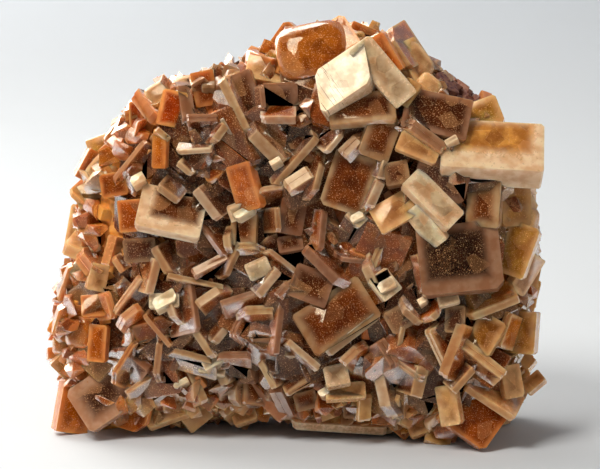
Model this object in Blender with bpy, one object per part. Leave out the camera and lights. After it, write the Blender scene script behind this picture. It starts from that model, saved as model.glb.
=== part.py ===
"""Fluorite specimen, about 100 mm wide: tabular crystals grown through each other.

The specimen is one fused solid.  A lumpy mass carries thin six- and eight-sided
tablets that stand on edge or lie face out, and cubes of a druse show at the upper
right and on the back.  It stands on two feet and on the back of its underside.

Frame: metres, +Z up, the crystal face towards -Y, origin at the middle of the
underside.  Places are given in millimetres as seen from the front: across, and up
from the right foot, for an eye ELEVATION degrees above the level.
"""

import math
import random

import bmesh
import bpy
from mathutils import Matrix, Vector
from mathutils.noise import noise

MM = 0.001

# Driving dimensions
ELEVATION = 10.0       # degrees, the tilt of the front view that places are read in
FOOT_DROP = 3.8        # mm, how far the right foot lies below the level through y = 0
FRONT_REACH = 19.0     # mm, the crystal face ahead of the middle plane at x = 0
FRONT_SLOPE = 0.15     # the right side comes forward by this much for each mm across
BACK_REACH = 19.0      # mm, the back behind the middle plane
EDGE_FALL = 15.0       # mm, how far the crystal face falls back at the outline
EDGE_WIDTH = 17.0      # mm, the band inside the outline over which it falls back
MASS_INSET = 4.5       # mm, how far the mass stays inside the crystals' outline
MASS_SUNK = 4.0        # mm, how far the mass stays behind the crystals' tips
MASS_BULGE = 0.55      # 1 is an ellipsoid, less is squarer
MASS_ROUGHNESS = 1.3   # mm, the height of the lumps in the mass
REST_TOP = 16.0        # mm, below this the mass widens down to the level it stands on
REST_FRONT = 6.0       # mm, how far behind the middle plane the mass starts to stand
REST_SPREAD = 0.4      # towards both sides it stands further forward, by this share
HEART = (0.0, 41.0)    # mm, the point that the outline is measured from
ORIGIN_X = 0.17        # mm, the middle of the finished solid across
ORIGIN_Y = -0.52       # mm, the middle of the finished solid from front to back

# The outline as seen from the front: across, up (mm)
OUTLINE = [
    (-44.6, 3.2), (-47.4, 7.0), (-47.4, 13.8), (-49.2, 19.2), (-49.8, 30.0),
    (-46.6, 36.8), (-44.2, 43.6), (-44.2, 52.2), (-42.0, 59.0), (-38.2, 63.2),
    (-35.0, 65.8), (-32.4, 71.6), (-28.2, 74.0), (-22.0, 75.4), (-12.2, 79.6),
    (-6.8, 80.0), (-2.6, 82.8), (0.8, 85.4), (10.0, 86.0), (17.8, 85.2),
    (23.8, 82.8), (27.0, 78.2), (33.0, 75.0), (39.2, 69.8), (43.0, 66.6),
    (47.2, 62.0), (48.6, 58.4), (47.6, 54.0), (47.2, 46.8), (48.8, 39.8),
    (49.2, 33.8), (48.0, 22.2), (47.2, 7.8), (39.4, 3.8), (37.0, 0.2),
    (30.8, 0.2), (25.4, 3.2), (17.8, 4.2), (0.2, 5.0), (-2.2, 6.6),
    (-9.8, 5.8), (-16.0, 7.8), (-20.6, 6.2), (-28.2, 5.4), (-38.2, 4.2),
]

# Tablets that show a long pale edge: both ends of it, thickness (mm), turn (degrees)
EDGES = [
    (-13.8, 73.8, -8.4, 63.6, 1.8, 24), (-9.4, 64.6, -2.0, 57.2, 2.8, 28),
    (-20.8, 65.6, -14.6, 65.6, 1.6, -30), (-16.4, 60.4, -13.2, 64.6, 1.6, 20),
    (-6.4, 66.2, 0.6, 66.2, 1.8, 32), (-6.6, 72.2, -6.0, 65.4, 1.0, -22),
    (-26.2, 53.2, -22.0, 50.0, 1.6, 30), (-19.0, 52.2, -14.4, 46.2, 2.0, 26),
    (-27.2, 63.6, -24.6, 61.4, 1.3, -25), (-22.4, 57.6, -19.4, 55.2, 1.2, 22),
    (-44.2, 52.4, -37.4, 46.2, 1.4, 30), (-36.6, 37.2, -35.0, 43.0, 2.0, -26),
    (-35.4, 39.0, -33.4, 36.0, 1.4, 24), (-29.0, 31.6, -27.2, 38.6, 1.8, 28),
    (-27.2, 41.0, -23.4, 34.2, 1.8, 24), (-37.2, 32.0, -35.6, 26.6, 1.4, -28),
    (-34.8, 25.0, -30.0, 29.0, 1.8, -24), (-24.6, 31.6, -22.2, 25.4, 1.6, 26),
    (-20.4, 26.4, -15.4, 19.0, 1.6, 22), (-21.8, 18.4, -17.6, 9.8, 1.8, -30),
    (-24.0, 18.0, -21.8, 11.2, 1.2, 30), (-15.4, 18.0, -13.2, 13.6, 1.8, 24),
    (-19.8, 35.4, -12.6, 39.2, 1.8, -28), (-13.0, 45.0, -12.4, 38.8, 1.6, 24),
    (-11.4, 40.8, -5.6, 41.0, 1.3, -32), (-18.8, 29.2, -12.6, 33.4, 2.0, -30),
    (-7.4, 31.6, -3.2, 36.6, 1.8, 20), (-2.8, 30.8, 0.4, 34.4, 1.6, -24),
    (-4.0, 19.8, -2.6, 31.0, 1.4, 30), (-11.4, 27.6, -3.8, 27.8, 2.0, -30),
    (-10.0, 22.4, -4.0, 22.6, 1.6, 28), (-16.0, 22.0, -13.2, 25.4, 1.6, 24),
    (-15.2, 19.2, -8.2, 19.4, 1.6, -28), (-28.2, 11.4, -22.8, 12.0, 1.6, -34),
    (-9.6, 14.2, -1.6, 6.8, 2.4, 26), (-15.2, 11.2, -9.6, 13.0, 1.6, -26),
    (-14.4, 7.0, -9.6, 11.0, 1.8, -22), (-6.4, 18.4, -3.4, 13.0, 1.4, 26),
    (-0.4, 9.2, 3.0, 7.2, 1.8, 24), (-0.4, 6.0, 18.6, 4.8, 2.0, 36),
    (2.2, 40.8, 10.4, 32.8, 2.0, 22), (13.6, 39.2, 17.2, 32.0, 2.0, 34),
    (-3.8, 48.6, -3.4, 43.6, 1.1, -24), (3.4, 49.6, 5.8, 59.2, 1.6, 30),
    (5.8, 59.2, 10.4, 64.6, 1.3, 30), (-1.4, 52.0, 3.6, 55.2, 2.8, -26),
    (9.4, 58.6, 14.0, 63.2, 2.4, -28), (13.6, 47.2, 16.6, 54.0, 2.0, 26),
    (16.6, 54.0, 18.0, 57.4, 2.0, 26), (20.6, 65.6, 29.2, 59.4, 2.4, -24),
    (20.4, 30.4, 25.2, 26.2, 1.6, 32), (25.2, 26.2, 28.8, 29.8, 1.6, 28),
    (24.4, 39.6, 26.0, 32.0, 2.0, -22), (6.2, 20.4, 16.2, 28.0, 2.0, 34),
    (9.4, 18.0, 14.0, 22.4, 2.0, -20), (16.6, 22.6, 19.8, 17.2, 2.0, -28),
    (16.2, 19.6, 18.8, 7.0, 2.4, 26), (19.6, 7.4, 21.0, 13.2, 1.4, 22),
    (24.8, 17.6, 23.4, 11.6, 2.6, -24), (33.4, 25.8, 29.4, 15.4, 2.2, 26),
    (33.8, 27.2, 44.0, 31.0, 1.8, 30), (32.6, 22.0, 40.8, 15.4, 2.2, -26),
    (30.8, 12.8, 34.8, 17.4, 1.4, 24), (34.0, 13.8, 43.6, 7.6, 1.6, 30),
    (40.0, 21.2, 42.4, 28.0, 1.6, -26), (20.4, 21.2, 21.2, 25.2, 1.0, 24),
    (18.0, 83.0, 23.0, 75.4, 2.4, 30),
]

# Tablets that show a broad face: middle, length, width, thickness (mm), lean of the
# length from level, opening of the face (degrees, 90 faces the eye), rise (mm)
FACES = [
    (-38.0, 11.2, 12.0, 10.0, 3.2, 34, 76, 1.0), (-43.6, 8.7, 11.0, 7.0, 3.0, 80, 118, 0.0),
    (-25.8, 8.4, 9.0, 5.5, 2.4, 20, 66, 0.5), (-45.4, 26.2, 8.0, 6.0, 2.0, 60, 62, 0.0),
    (-39.0, 29.4, 6.0, 4.5, 1.8, 4, 72, 0.5), (-42.2, 34.6, 6.0, 3.4, 1.6, 92, 60, 0.0),
    (-38.6, 34.8, 5.5, 4.0, 1.8, 78, 112, 0.3), (-39.8, 43.6, 8.0, 5.0, 2.2, 85, 70, 0.0),
    (-44.0, 44.0, 10.5, 4.0, 2.0, 80, 55, 0.0), (-44.8, 17.8, 6.5, 5.0, 2.4, 45, 108, 0.3),
    (-39.0, 21.8, 7.5, 4.0, 2.0, 86, 66, 0.4), (-40.8, 51.6, 6.0, 4.6, 2.2, 30, 70, 0.2),
    (-39.8, 56.6, 6.4, 5.0, 2.4, 62, 112, 0.2), (-37.8, 61.0, 6.4, 5.0, 2.2, 20, 64, 0.2),
    (-35.4, 53.2, 5.4, 4.8, 2.0, 10, 82, 0.5), (-32.0, 47.0, 6.4, 5.2, 2.2, 95, 76, 0.6),
    (-23.8, 48.0, 13.0, 9.5, 3.0, -12, 62, 0.8), (-30.2, 40.2, 6.4, 4.8, 1.8, 4, 98, 0.4),
    (-26.4, 59.6, 6.8, 3.2, 1.6, 88, 62, 0.6), (-23.8, 68.0, 7.2, 5.2, 2.4, 78, 82, 0.4),
    (-31.2, 66.8, 5.6, 3.2, 1.8, 92, 64, 0.2), (-17.4, 72.0, 7.0, 4.8, 2.0, 102, 104, 0.4),
    (-9.6, 70.4, 9.0, 5.8, 2.0, 112, 72, -0.6), (-2.8, 69.8, 7.4, 6.0, 2.0, 2, 98, -0.6),
    (-4.8, 75.6, 9.0, 5.4, 2.4, -10, 60, 0.6), (1.8, 80.2, 9.0, 8.0, 5.5, 14, 70, 1.0),
    (7.4, 81.2, 9.5, 8.0, 5.0, 32, 62, 0.0), (9.4, 73.8, 11.5, 9.0, 6.0, 34, 66, 2.4),
    (17.2, 74.8, 14.5, 5.4, 2.6, -50, 66, 1.4), (17.8, 78.2, 8.4, 3.8, 2.0, -60, 112, 1.2),
    (24.2, 76.4, 10.5, 5.0, 2.6, -64, 52, 0.8), (22.0, 70.8, 5.4, 3.4, 1.6, 58, 70, 0.6),
    (13.2, 68.0, 13.0, 6.4, 3.0, 5, 66, 0.2), (27.8, 66.8, 13.0, 8.5, 5.0, -12, 70, 0.2),
    (16.8, 62.0, 8.8, 6.4, 2.4, 70, 104, 0.0), (24.2, 60.2, 8.4, 4.2, 2.0, -22, 74, 0.8),
    (20.0, 55.2, 4.8, 4.6, 4.0, 10, 78, 0.8), (28.8, 54.0, 10.5, 8.0, 2.6, -14, 100, -0.8),
    (38.4, 60.6, 20.0, 11.0, 6.5, -3, 58, 1.2), (37.2, 67.0, 6.6, 6.0, 3.0, 20, 70, 0.2),
    (27.2, 50.2, 12.5, 5.2, 2.6, -45, 66, 1.2), (25.4, 44.8, 9.0, 4.2, 2.4, -52, 118, 0.8),
    (19.4, 47.8, 8.4, 5.8, 2.2, 30, 76, 0.4), (12.4, 46.8, 3.8, 3.0, 1.4, -45, 70, 0.8),
    (10.8, 53.4, 11.5, 9.0, 2.4, 72, 82, -0.2), (-9.8, 52.4, 9.5, 5.4, 2.6, 106, 62, 1.2),
    (-10.0, 47.8, 5.4, 3.2, 1.6, 20, 112, 0.8), (-9.8, 44.4, 6.6, 5.2, 2.0, 88, 76, -0.4),
    (-0.2, 47.0, 7.4, 5.2, 2.0, 80, 102, -1.2), (-0.6, 41.6, 5.0, 3.4, 1.6, 10, 70, -1.0),
    (32.2, 38.8, 16.0, 13.5, 4.0, 6, 80, 0.8), (30.0, 31.0, 4.2, 2.8, 1.6, 15, 66, 0.8),
    (36.8, 49.4, 9.4, 6.6, 3.0, 86, 74, -0.4), (43.6, 49.4, 9.0, 6.4, 5.0, 92, 112, 0.2),
    (43.6, 40.4, 10.5, 6.4, 2.6, 70, 72, 0.4), (46.0, 35.4, 8.4, 4.4, 2.2, 58, 128, 0.4),
    (37.4, 24.0, 7.4, 5.8, 2.4, 60, 74, -0.2), (45.0, 24.0, 8.4, 5.4, 2.4, 86, 66, 0.2),
    (43.2, 14.4, 6.6, 4.4, 2.2, 100, 118, 0.6), (47.4, 14.2, 4.6, 3.0, 1.8, 40, 56, 0.4),
    (3.4, 33.4, 8.0, 6.8, 2.0, -20, 82, 0.0), (8.4, 27.4, 15.0, 9.5, 3.0, 32, 80, 0.6),
    (21.2, 27.2, 6.4, 4.8, 2.0, 30, 98, -0.4), (31.4, 26.8, 5.4, 4.0, 1.8, 88, 80, -0.4),
    (17.8, 33.6, 5.4, 4.6, 2.0, -52, 78, 1.0), (8.4, 15.8, 4.8, 4.2, 3.6, 12, 76, 1.0),
    (10.2, 12.6, 8.0, 3.4, 3.0, 4, 72, 0.6), (11.8, 9.6, 5.6, 4.2, 2.0, 92, 80, -0.6),
    (2.4, 10.4, 4.6, 3.8, 2.0, 15, 84, 0.0), (-10.0, 7.4, 5.0, 3.6, 2.6, 18, 72, 0.4),
    (-25.4, 30.4, 6.0, 3.0, 1.6, 2, 72, 1.0), (-16.0, 17.2, 5.4, 3.0, 1.6, -10, 70, 0.6),
    (-6.8, 36.4, 4.8, 3.4, 1.6, 24, 108, 0.6), (30.2, 9.6, 8.0, 4.4, 2.2, 100, 62, 0.8),
    (35.4, 7.8, 11.5, 9.5, 3.4, -36, 78, 0.6), (25.0, 5.4, 5.0, 3.6, 2.2, 20, 68, 0.6),
    (21.4, 4.6, 4.4, 3.2, 2.0, -40, 112, 0.4), (29.0, 3.4, 5.2, 3.8, 2.4, -20, 64, 0.6),
]

# Crystals that fill in round the hand-placed ones, by where they grow
FILL_SEED = 21
FILL_TRIES = 1400
FILL_SPACING = 7.7             # mm, between neighbours on the front, flanks and top
BACK_SPACING = 11.0            # mm, between neighbours on the back
FILL_LENGTH = (5.5, 10.5)      # mm
FILL_THICKNESS = (1.7, 3.0)    # mm
FILL_CLEAR = 5.6               # mm, kept free round each hand-placed tablet
UNDERSIDE_CLEAR = 5.0          # mm, no fill tablet grows lower than this
FRONT_FACING = -0.6            # y of the outward direction up to which a place is front
DRUSE_SEED = 5
DRUSE_COUNT = 20
DRUSE_SIZE = (3.6, 6.0)        # mm, the side of a cube of the druse


def seen_point(across, up, y):
    """The point at depth y that the front view shows at this place (mm)."""
    tilt = math.radians(ELEVATION)
    height = (up - FOOT_DROP - y * math.sin(tilt)) / math.cos(tilt)
    return Vector((across, y, height))


def outline_radius(angle):
    """Distance from HEART to the outline in one direction of the front view."""
    reach = Vector((math.cos(angle), math.sin(angle)))
    heart = Vector(HEART)
    for index, corner in enumerate(OUTLINE):
        start = Vector(OUTLINE[index - 1]) - heart
        side = Vector(corner) - heart - start
        turn = reach.cross(side)
        if abs(turn) < 1e-9:
            continue
        along_reach = start.cross(side) / turn
        along_side = start.cross(reach) / turn
        if along_reach > 0 and 0 <= along_side <= 1:
            return along_reach
    raise ValueError("the outline is open")


def inside_depth(across, up):
    """How far inside the outline a place of the front view lies (mm)."""
    point = Vector((across, up))
    nearest = EDGE_WIDTH
    for index, corner in enumerate(OUTLINE):
        start = Vector(OUTLINE[index - 1])
        side = Vector(corner) - start
        share = max(0.0, min(1.0, (point - start).dot(side) / side.length_squared))
        nearest = min(nearest, (point - start - side * share).length)
    return nearest


def front_depth(across, up):
    """The y of the crystal face at a place of the front view (mm)."""
    margin = 1.0 - inside_depth(across, up) / EDGE_WIDTH
    return -FRONT_REACH - FRONT_SLOPE * across + EDGE_FALL * margin * margin


def view_axes():
    """Right, up and towards the eye, for the front view."""
    tilt = math.radians(ELEVATION)
    right = Vector((1.0, 0.0, 0.0))
    upward = Vector((0.0, math.sin(tilt), math.cos(tilt)))
    to_eye = Vector((0.0, -math.cos(tilt), math.sin(tilt)))
    return right, upward, to_eye


def tablet_frame(lean, opening):
    """Length, width and face directions of a tablet from its two angles."""
    right, upward, to_eye = view_axes()
    lean = math.radians(lean)
    opening = math.radians(opening)
    length = right * math.cos(lean) + upward * math.sin(lean)
    across = upward * math.cos(lean) - right * math.sin(lean)
    face = across * math.cos(opening) + to_eye * math.sin(opening)
    width = length.cross(face)
    return length, width, face


def axes_matrix(centre, length, width, face):
    """The placing of a tablet whose length, width and face point these ways."""
    turned = Matrix((length, width, face)).transposed().to_4x4()
    return Matrix.Translation(centre) @ turned


def crystal_shape(name, size, placing, corner_cut):
    """A block of this size (mm) with two opposite corners cut, set in its place."""
    bm = bmesh.new()
    bmesh.ops.create_cube(bm, size=1.0)
    bmesh.ops.scale(bm, vec=size, verts=bm.verts)
    cut = [edge for edge in bm.edges
           if abs(edge.verts[0].co.z - edge.verts[1].co.z) > 1e-6
           and edge.verts[0].co.x * edge.verts[0].co.y * corner_cut > 0]
    if cut:
        bmesh.ops.bevel(bm, geom=cut, offset=abs(corner_cut), segments=1, affect="EDGES")
    bmesh.ops.transform(bm, matrix=Matrix.Scale(MM, 4) @ placing, verts=bm.verts)
    mesh = bpy.data.meshes.new(name)
    bm.to_mesh(mesh)
    bm.free()
    return bpy.data.objects.new(name, mesh)


def edge_tablets(chance):
    """The hand-placed tablets that stand on edge."""
    made = []
    for x1, up1, x2, up2, thickness, turn in EDGES:
        run = math.hypot(x2 - x1, up2 - up1)
        lean = math.degrees(math.atan2(up2 - up1, x2 - x1))
        middle_x = (x1 + x2) / 2
        middle_up = (up1 + up2) / 2
        width = min(9.0, 4.5 + 0.45 * run)
        length_way, width_way, face_way = tablet_frame(lean + chance.uniform(-1, 1), turn)
        outward = width_way if width_way.y < 0 else -width_way
        outer = seen_point(middle_x, middle_up, front_depth(middle_x, middle_up))
        centre = outer - outward * (width / 2 - chance.uniform(0.6, 1.8))
        placing = axes_matrix(centre, length_way, width_way, face_way)
        cut = chance.choice((-1, 1)) * 0.16 * width
        made.append(crystal_shape("edge_tablet", (run, width, thickness), placing, cut))
    return made


def face_tablets(chance):
    """The hand-placed tablets that turn a broad face to the front."""
    made = []
    for x, up, length, width, thickness, lean, opening, rise in FACES:
        length_way, width_way, face_way = tablet_frame(lean, opening)
        outer = seen_point(x, up, front_depth(x, up) - rise)
        centre = outer - face_way * (thickness / 2)
        placing = axes_matrix(centre, length_way, width_way, face_way)
        cut = chance.choice((-1, 1)) * chance.uniform(0.14, 0.24) * width
        made.append(crystal_shape("face_tablet", (length, width, thickness), placing, cut))
    return made


def mass_point(way):
    """The point of the mass in one direction of a unit sphere (mm)."""
    level = math.hypot(way.x, way.z)
    angle = math.atan2(way.z, way.x)
    spread = level ** MASS_BULGE
    reach = (outline_radius(angle) - MASS_INSET) * spread
    across = HEART[0] + reach * math.cos(angle)
    up = HEART[1] + reach * math.sin(angle)
    depth = abs(way.y) ** MASS_BULGE
    front = FRONT_REACH + FRONT_SLOPE * across - MASS_SUNK
    y = -front * depth if way.y < 0 else BACK_REACH * depth
    point = seen_point(across, up, y)
    lump = noise(Vector((across, y, up)) * 0.11)
    point += Vector(way).normalized() * lump * MASS_ROUGHNESS
    stands = (y - REST_FRONT + REST_SPREAD * max(0.0, abs(across) - 15.0)) / 8.0
    if point.z < REST_TOP:
        point.z -= (REST_TOP - point.z) * 0.5 * max(0.0, min(1.0, stands))
    return point


def mass_object():
    """The lumpy mass that every crystal grows from."""
    bpy.ops.mesh.primitive_ico_sphere_add(subdivisions=3, radius=1.0)
    mass = bpy.context.object
    mass.name = "crystal_cluster"
    for vertex in mass.data.vertices:
        vertex.co = mass_point(vertex.co) * MM
    return mass


def skin_places(skin, chance):
    """Random places on the mass, even by area: point and outward direction (mm)."""
    skin.calc_loop_triangles()
    corners = [[skin.vertices[i].co / MM for i in tri.vertices] for tri in skin.loop_triangles]
    areas = [tri.area for tri in skin.loop_triangles]
    for _ in range(FILL_TRIES):
        a, b, c = chance.choices(corners, areas)[0]
        s = math.sqrt(chance.random())
        t = chance.random()
        yield a * (1 - s) + b * (s * (1 - t)) + c * (s * t), (b - a).cross(c - a).normalized()


def random_side(outward, chance):
    """A random direction square to this one."""
    while True:
        way = Vector([chance.gauss(0, 1) for _ in range(3)])
        side = way - outward * way.dot(outward)
        if side.length > 0.2:
            return side.normalized()


def taken_places():
    """The places of the front view that hand-placed tablets hold."""
    places = [((x1 + x2) / 2, (up1 + up2) / 2) for x1, up1, x2, up2, _, _ in EDGES]
    return places + [(row[0], row[1]) for row in FACES]


def seen_place(point):
    """Where the front view shows a point (mm): across and up."""
    tilt = math.radians(ELEVATION)
    return point.x, point.z * math.cos(tilt) + point.y * math.sin(tilt) + FOOT_DROP


def is_free(root, outward, hand_placed, grown):
    """Whether a fill tablet fits here, clear of the hand-placed and earlier ones."""
    spacing = BACK_SPACING if outward.y > 0.5 else FILL_SPACING
    if any((root - other).length < spacing for other in grown):
        return False
    if root.z < UNDERSIDE_CLEAR:
        return False
    if outward.y > FRONT_FACING:
        return True
    across, up = seen_place(root)
    return all(math.hypot(across - x, up - height) > FILL_CLEAR for x, height in hand_placed)


def fill_frame(outward, chance):
    """Directions of a fill tablet: broad face out on the front, on edge elsewhere."""
    if outward.y < FRONT_FACING:
        face = (outward + random_side(outward, chance) * chance.uniform(0.1, 0.8)).normalized()
        tip = random_side(face, chance)
    else:
        tip = (outward + random_side(outward, chance) * chance.uniform(0.1, 0.7)).normalized()
        face = random_side(tip, chance)
    return face.cross(tip), tip, face


def fill_tablets(skin, chance):
    """Tablets that cover the flanks, the top, the back and the gaps in the front."""
    made = []
    grown = []
    hand_placed = taken_places()
    for root, outward in skin_places(skin, chance):
        if not is_free(root, outward, hand_placed, grown):
            continue
        grown.append(root)
        length = chance.uniform(*FILL_LENGTH)
        width = length * chance.uniform(0.7, 0.95)
        thickness = chance.uniform(*FILL_THICKNESS)
        centre = root + outward * chance.uniform(-0.2, 1.6)
        placing = axes_matrix(centre, *fill_frame(outward, chance))
        cut = chance.choice((-1, 1)) * 0.18 * width
        made.append(crystal_shape("fill_tablet", (length, width, thickness), placing, cut))
    return made


def druse_cubes(chance):
    """Cubes of the druse that shows at the upper right and on the back."""
    made = []
    while len(made) < DRUSE_COUNT:
        way = Vector([chance.gauss(0, 1) for _ in range(3)]).normalized()
        if way.y < 0.15 or way.x + 1.2 * way.z < 0.25:
            continue
        size = chance.uniform(*DRUSE_SIZE)
        side = random_side(way, chance)
        placing = axes_matrix(mass_point(way), way.cross(side), way, side)
        made.append(crystal_shape("druse_cube", (size, size, size), placing, 0.0))
    return made


def crystals_on(skin):
    """All crystals, in a collection that the union takes in."""
    group = bpy.data.collections.new("crystals_to_join")
    bpy.context.scene.collection.children.link(group)
    chance = random.Random(FILL_SEED)
    crystals = edge_tablets(chance) + face_tablets(chance) + fill_tablets(skin, chance)
    crystals += druse_cubes(random.Random(DRUSE_SEED))
    for crystal in crystals:
        group.objects.link(crystal)
        crystal.hide_render = True
        crystal.display_type = "WIRE"
    return group


def ground_cutter():
    """The block below the level that the specimen stands on."""
    group = bpy.data.collections.new("cutters")
    bpy.context.scene.collection.children.link(group)
    bm = bmesh.new()
    bmesh.ops.create_cube(bm, size=1.0)
    bmesh.ops.scale(bm, vec=(0.2, 0.2, 0.04), verts=bm.verts)
    bmesh.ops.translate(bm, vec=(0.0, 0.0, -0.02), verts=bm.verts)
    mesh = bpy.data.meshes.new("ground_cutter")
    bm.to_mesh(mesh)
    bm.free()
    block = bpy.data.objects.new("ground_cutter", mesh)
    group.objects.link(block)
    block.hide_render = True
    block.display_type = "WIRE"
    return block


def join_crystals(mass, group, block):
    """Union of the mass and every crystal, cut level at the bottom."""
    union = mass.modifiers.new("crystals", "BOOLEAN")
    union.operation = "UNION"
    union.operand_type = "COLLECTION"
    union.collection = group
    level = mass.modifiers.new("ground", "BOOLEAN")
    level.operation = "DIFFERENCE"
    level.object = block
    view = bpy.context.evaluated_depsgraph_get()
    joined = bpy.data.meshes.new_from_object(mass.evaluated_get(view))
    mass.modifiers.clear()
    mass.data = joined


def face_groups(bm):
    """The groups of faces that hang together."""
    waiting = set(bm.faces)
    groups = []
    while waiting:
        group = set()
        edge_of_group = [waiting.pop()]
        while edge_of_group:
            face = edge_of_group.pop()
            group.add(face)
            for edge in face.edges:
                for other in edge.link_faces:
                    if other in waiting:
                        waiting.remove(other)
                        edge_of_group.append(other)
        groups.append(group)
    return groups


def keep_outer_skin(mass):
    """Drops the closed pockets that the union leaves inside, and sets the origin."""
    bm = bmesh.new()
    bm.from_mesh(mass.data)
    groups = sorted(face_groups(bm), key=len)
    for group in groups[:-1]:
        verts = {vert for face in group for vert in face.verts}
        bmesh.ops.delete(bm, geom=list(verts), context="VERTS")
    shift = Vector((-ORIGIN_X, -ORIGIN_Y, 0.0)) * MM
    bmesh.ops.translate(bm, vec=shift, verts=bm.verts)
    bm.to_mesh(mass.data)
    bm.free()


def crystal_material():
    """Honey-coloured, milky crystal with a wet gloss."""
    material = bpy.data.materials.new("honey_crystal")
    material.use_nodes = True
    shader = material.node_tree.nodes["Principled BSDF"]
    shader.inputs["Base Color"].default_value = (0.47, 0.20, 0.08, 1.0)
    shader.inputs["Roughness"].default_value = 0.25
    shader.inputs["Metallic"].default_value = 0.0
    return material


def clear_scene():
    """Removes every object that the file starts with."""
    for thing in list(bpy.data.objects):
        bpy.data.objects.remove(thing)


def main():
    clear_scene()
    home = bpy.data.collections.new("fluorite_specimen")
    bpy.context.scene.collection.children.link(home)
    mass = mass_object()
    for group in list(mass.users_collection):
        group.objects.unlink(mass)
    home.objects.link(mass)
    join_crystals(mass, crystals_on(mass.data), ground_cutter())
    keep_outer_skin(mass)
    mass.data.materials.clear()
    mass.data.materials.append(crystal_material())


main()
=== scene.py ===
# %% [markdown]
# # A fluorite specimen, crystal by crystal
# The real object is a hand specimen: a purple-brown druse of fluorite that is
# overgrown by hundreds of thin tabular crystals, honey brown inside and milky at
# their rims.  The solid model of it is already packed and is loaded here as a fixed
# frame.  Everything below gives that plain solid its finish, at the same places.

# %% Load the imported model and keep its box
import math
import random

import bmesh
import bpy
from mathutils import Matrix, Vector
from mathutils.noise import noise, turbulence


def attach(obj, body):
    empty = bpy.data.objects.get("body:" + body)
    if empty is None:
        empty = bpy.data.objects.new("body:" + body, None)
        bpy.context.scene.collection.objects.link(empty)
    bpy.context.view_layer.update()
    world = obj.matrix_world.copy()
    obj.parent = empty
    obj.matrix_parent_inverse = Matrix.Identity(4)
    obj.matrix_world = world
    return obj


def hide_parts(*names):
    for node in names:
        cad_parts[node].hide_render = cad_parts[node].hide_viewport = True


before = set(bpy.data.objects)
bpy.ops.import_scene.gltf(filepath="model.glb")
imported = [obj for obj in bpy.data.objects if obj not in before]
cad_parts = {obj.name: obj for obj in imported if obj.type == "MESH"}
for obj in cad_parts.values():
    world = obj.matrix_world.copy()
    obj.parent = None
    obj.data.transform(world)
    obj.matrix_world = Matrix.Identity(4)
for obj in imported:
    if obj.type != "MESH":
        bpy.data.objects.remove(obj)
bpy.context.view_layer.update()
MM = 0.001

# %% [markdown]
# ## Where things are
# Places are read from the front of the specimen, in millimetres: across, and up from
# the right foot, for an eye ten degrees above the level.  The outline is a short list
# of corners.  From it come the depth of the crystal face, which falls back towards the
# outline, and the lumpy mass that the crystals grow from.  A formula for the depth is
# easier to change than a depth written down for each crystal.

# %% Sizes of the whole specimen
ELEVATION = math.radians(10.0)
FOOT_DROP = 3.8        # mm, the right foot below the level through the middle plane
FRONT_REACH = 19.0     # mm, the crystal face ahead of the middle plane at x = 0
FRONT_SLOPE = 0.15     # the right side comes forward by this much for each mm across
BACK_REACH = 19.0      # mm, the back behind the middle plane
EDGE_FALL = 15.0       # mm, how far the crystal face falls back at the outline
EDGE_WIDTH = 17.0      # mm, the band inside the outline over which it falls back
MASS_INSET = 4.5       # mm, how far the mass stays inside the outline
MASS_SUNK = 4.0        # mm, how far the mass stays behind the crystals' tips
MASS_BULGE = 0.55      # 1 is an ellipsoid, less is squarer
MASS_ROUGHNESS = 1.3   # mm, the height of the lumps in the mass
REST_TOP = 16.0        # mm, below this the mass widens down to the level it stands on
REST_FRONT = 6.0       # mm, how far behind the middle plane the mass starts to stand
REST_SPREAD = 0.4      # towards both sides it stands further forward, by this share
HEART = (0.0, 41.0)    # mm, the point that the outline is measured from
ORIGIN = Vector((0.17, -0.52, 0.0))    # mm, the middle of the finished solid
OUTLINE = [
    (-44.6, 3.2), (-47.4, 7.0), (-47.4, 13.8), (-49.2, 19.2), (-49.8, 30.0),
    (-46.6, 36.8), (-44.2, 43.6), (-44.2, 52.2), (-42.0, 59.0), (-38.2, 63.2),
    (-35.0, 65.8), (-32.4, 71.6), (-28.2, 74.0), (-22.0, 75.4), (-12.2, 79.6),
    (-6.8, 80.0), (-2.6, 82.8), (0.8, 85.4), (10.0, 86.0), (17.8, 85.2),
    (23.8, 82.8), (27.0, 78.2), (33.0, 75.0), (39.2, 69.8), (43.0, 66.6),
    (47.2, 62.0), (48.6, 58.4), (47.6, 54.0), (47.2, 46.8), (48.8, 39.8),
    (49.2, 33.8), (48.0, 22.2), (47.2, 7.8), (39.4, 3.8), (37.0, 0.2),
    (30.8, 0.2), (25.4, 3.2), (17.8, 4.2), (0.2, 5.0), (-2.2, 6.6),
    (-9.8, 5.8), (-16.0, 7.8), (-20.6, 6.2), (-28.2, 5.4), (-38.2, 4.2),
]


# %% From a place in the front view to a point, and back
def seen_point(across, up, y):
    height = (up - FOOT_DROP - y * math.sin(ELEVATION)) / math.cos(ELEVATION)
    return Vector((across, y, height))


def seen_place(point):
    up = point.z * math.cos(ELEVATION) + point.y * math.sin(ELEVATION) + FOOT_DROP
    return point.x, up


def outline_radius(angle):
    reach = Vector((math.cos(angle), math.sin(angle)))
    heart = Vector(HEART)
    for index, corner in enumerate(OUTLINE):
        start = Vector(OUTLINE[index - 1]) - heart
        side = Vector(corner) - heart - start
        turn = reach.cross(side)
        if abs(turn) < 1e-9:
            continue
        along_reach = start.cross(side) / turn
        along_side = start.cross(reach) / turn
        if along_reach > 0 and 0 <= along_side <= 1:
            return along_reach
    raise ValueError("the outline is open")


def inside_depth(across, up):
    point = Vector((across, up))
    nearest = EDGE_WIDTH
    for index, corner in enumerate(OUTLINE):
        start = Vector(OUTLINE[index - 1])
        side = Vector(corner) - start
        share = max(0.0, min(1.0, (point - start).dot(side) / side.length_squared))
        nearest = min(nearest, (point - start - side * share).length)
    return nearest


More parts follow.
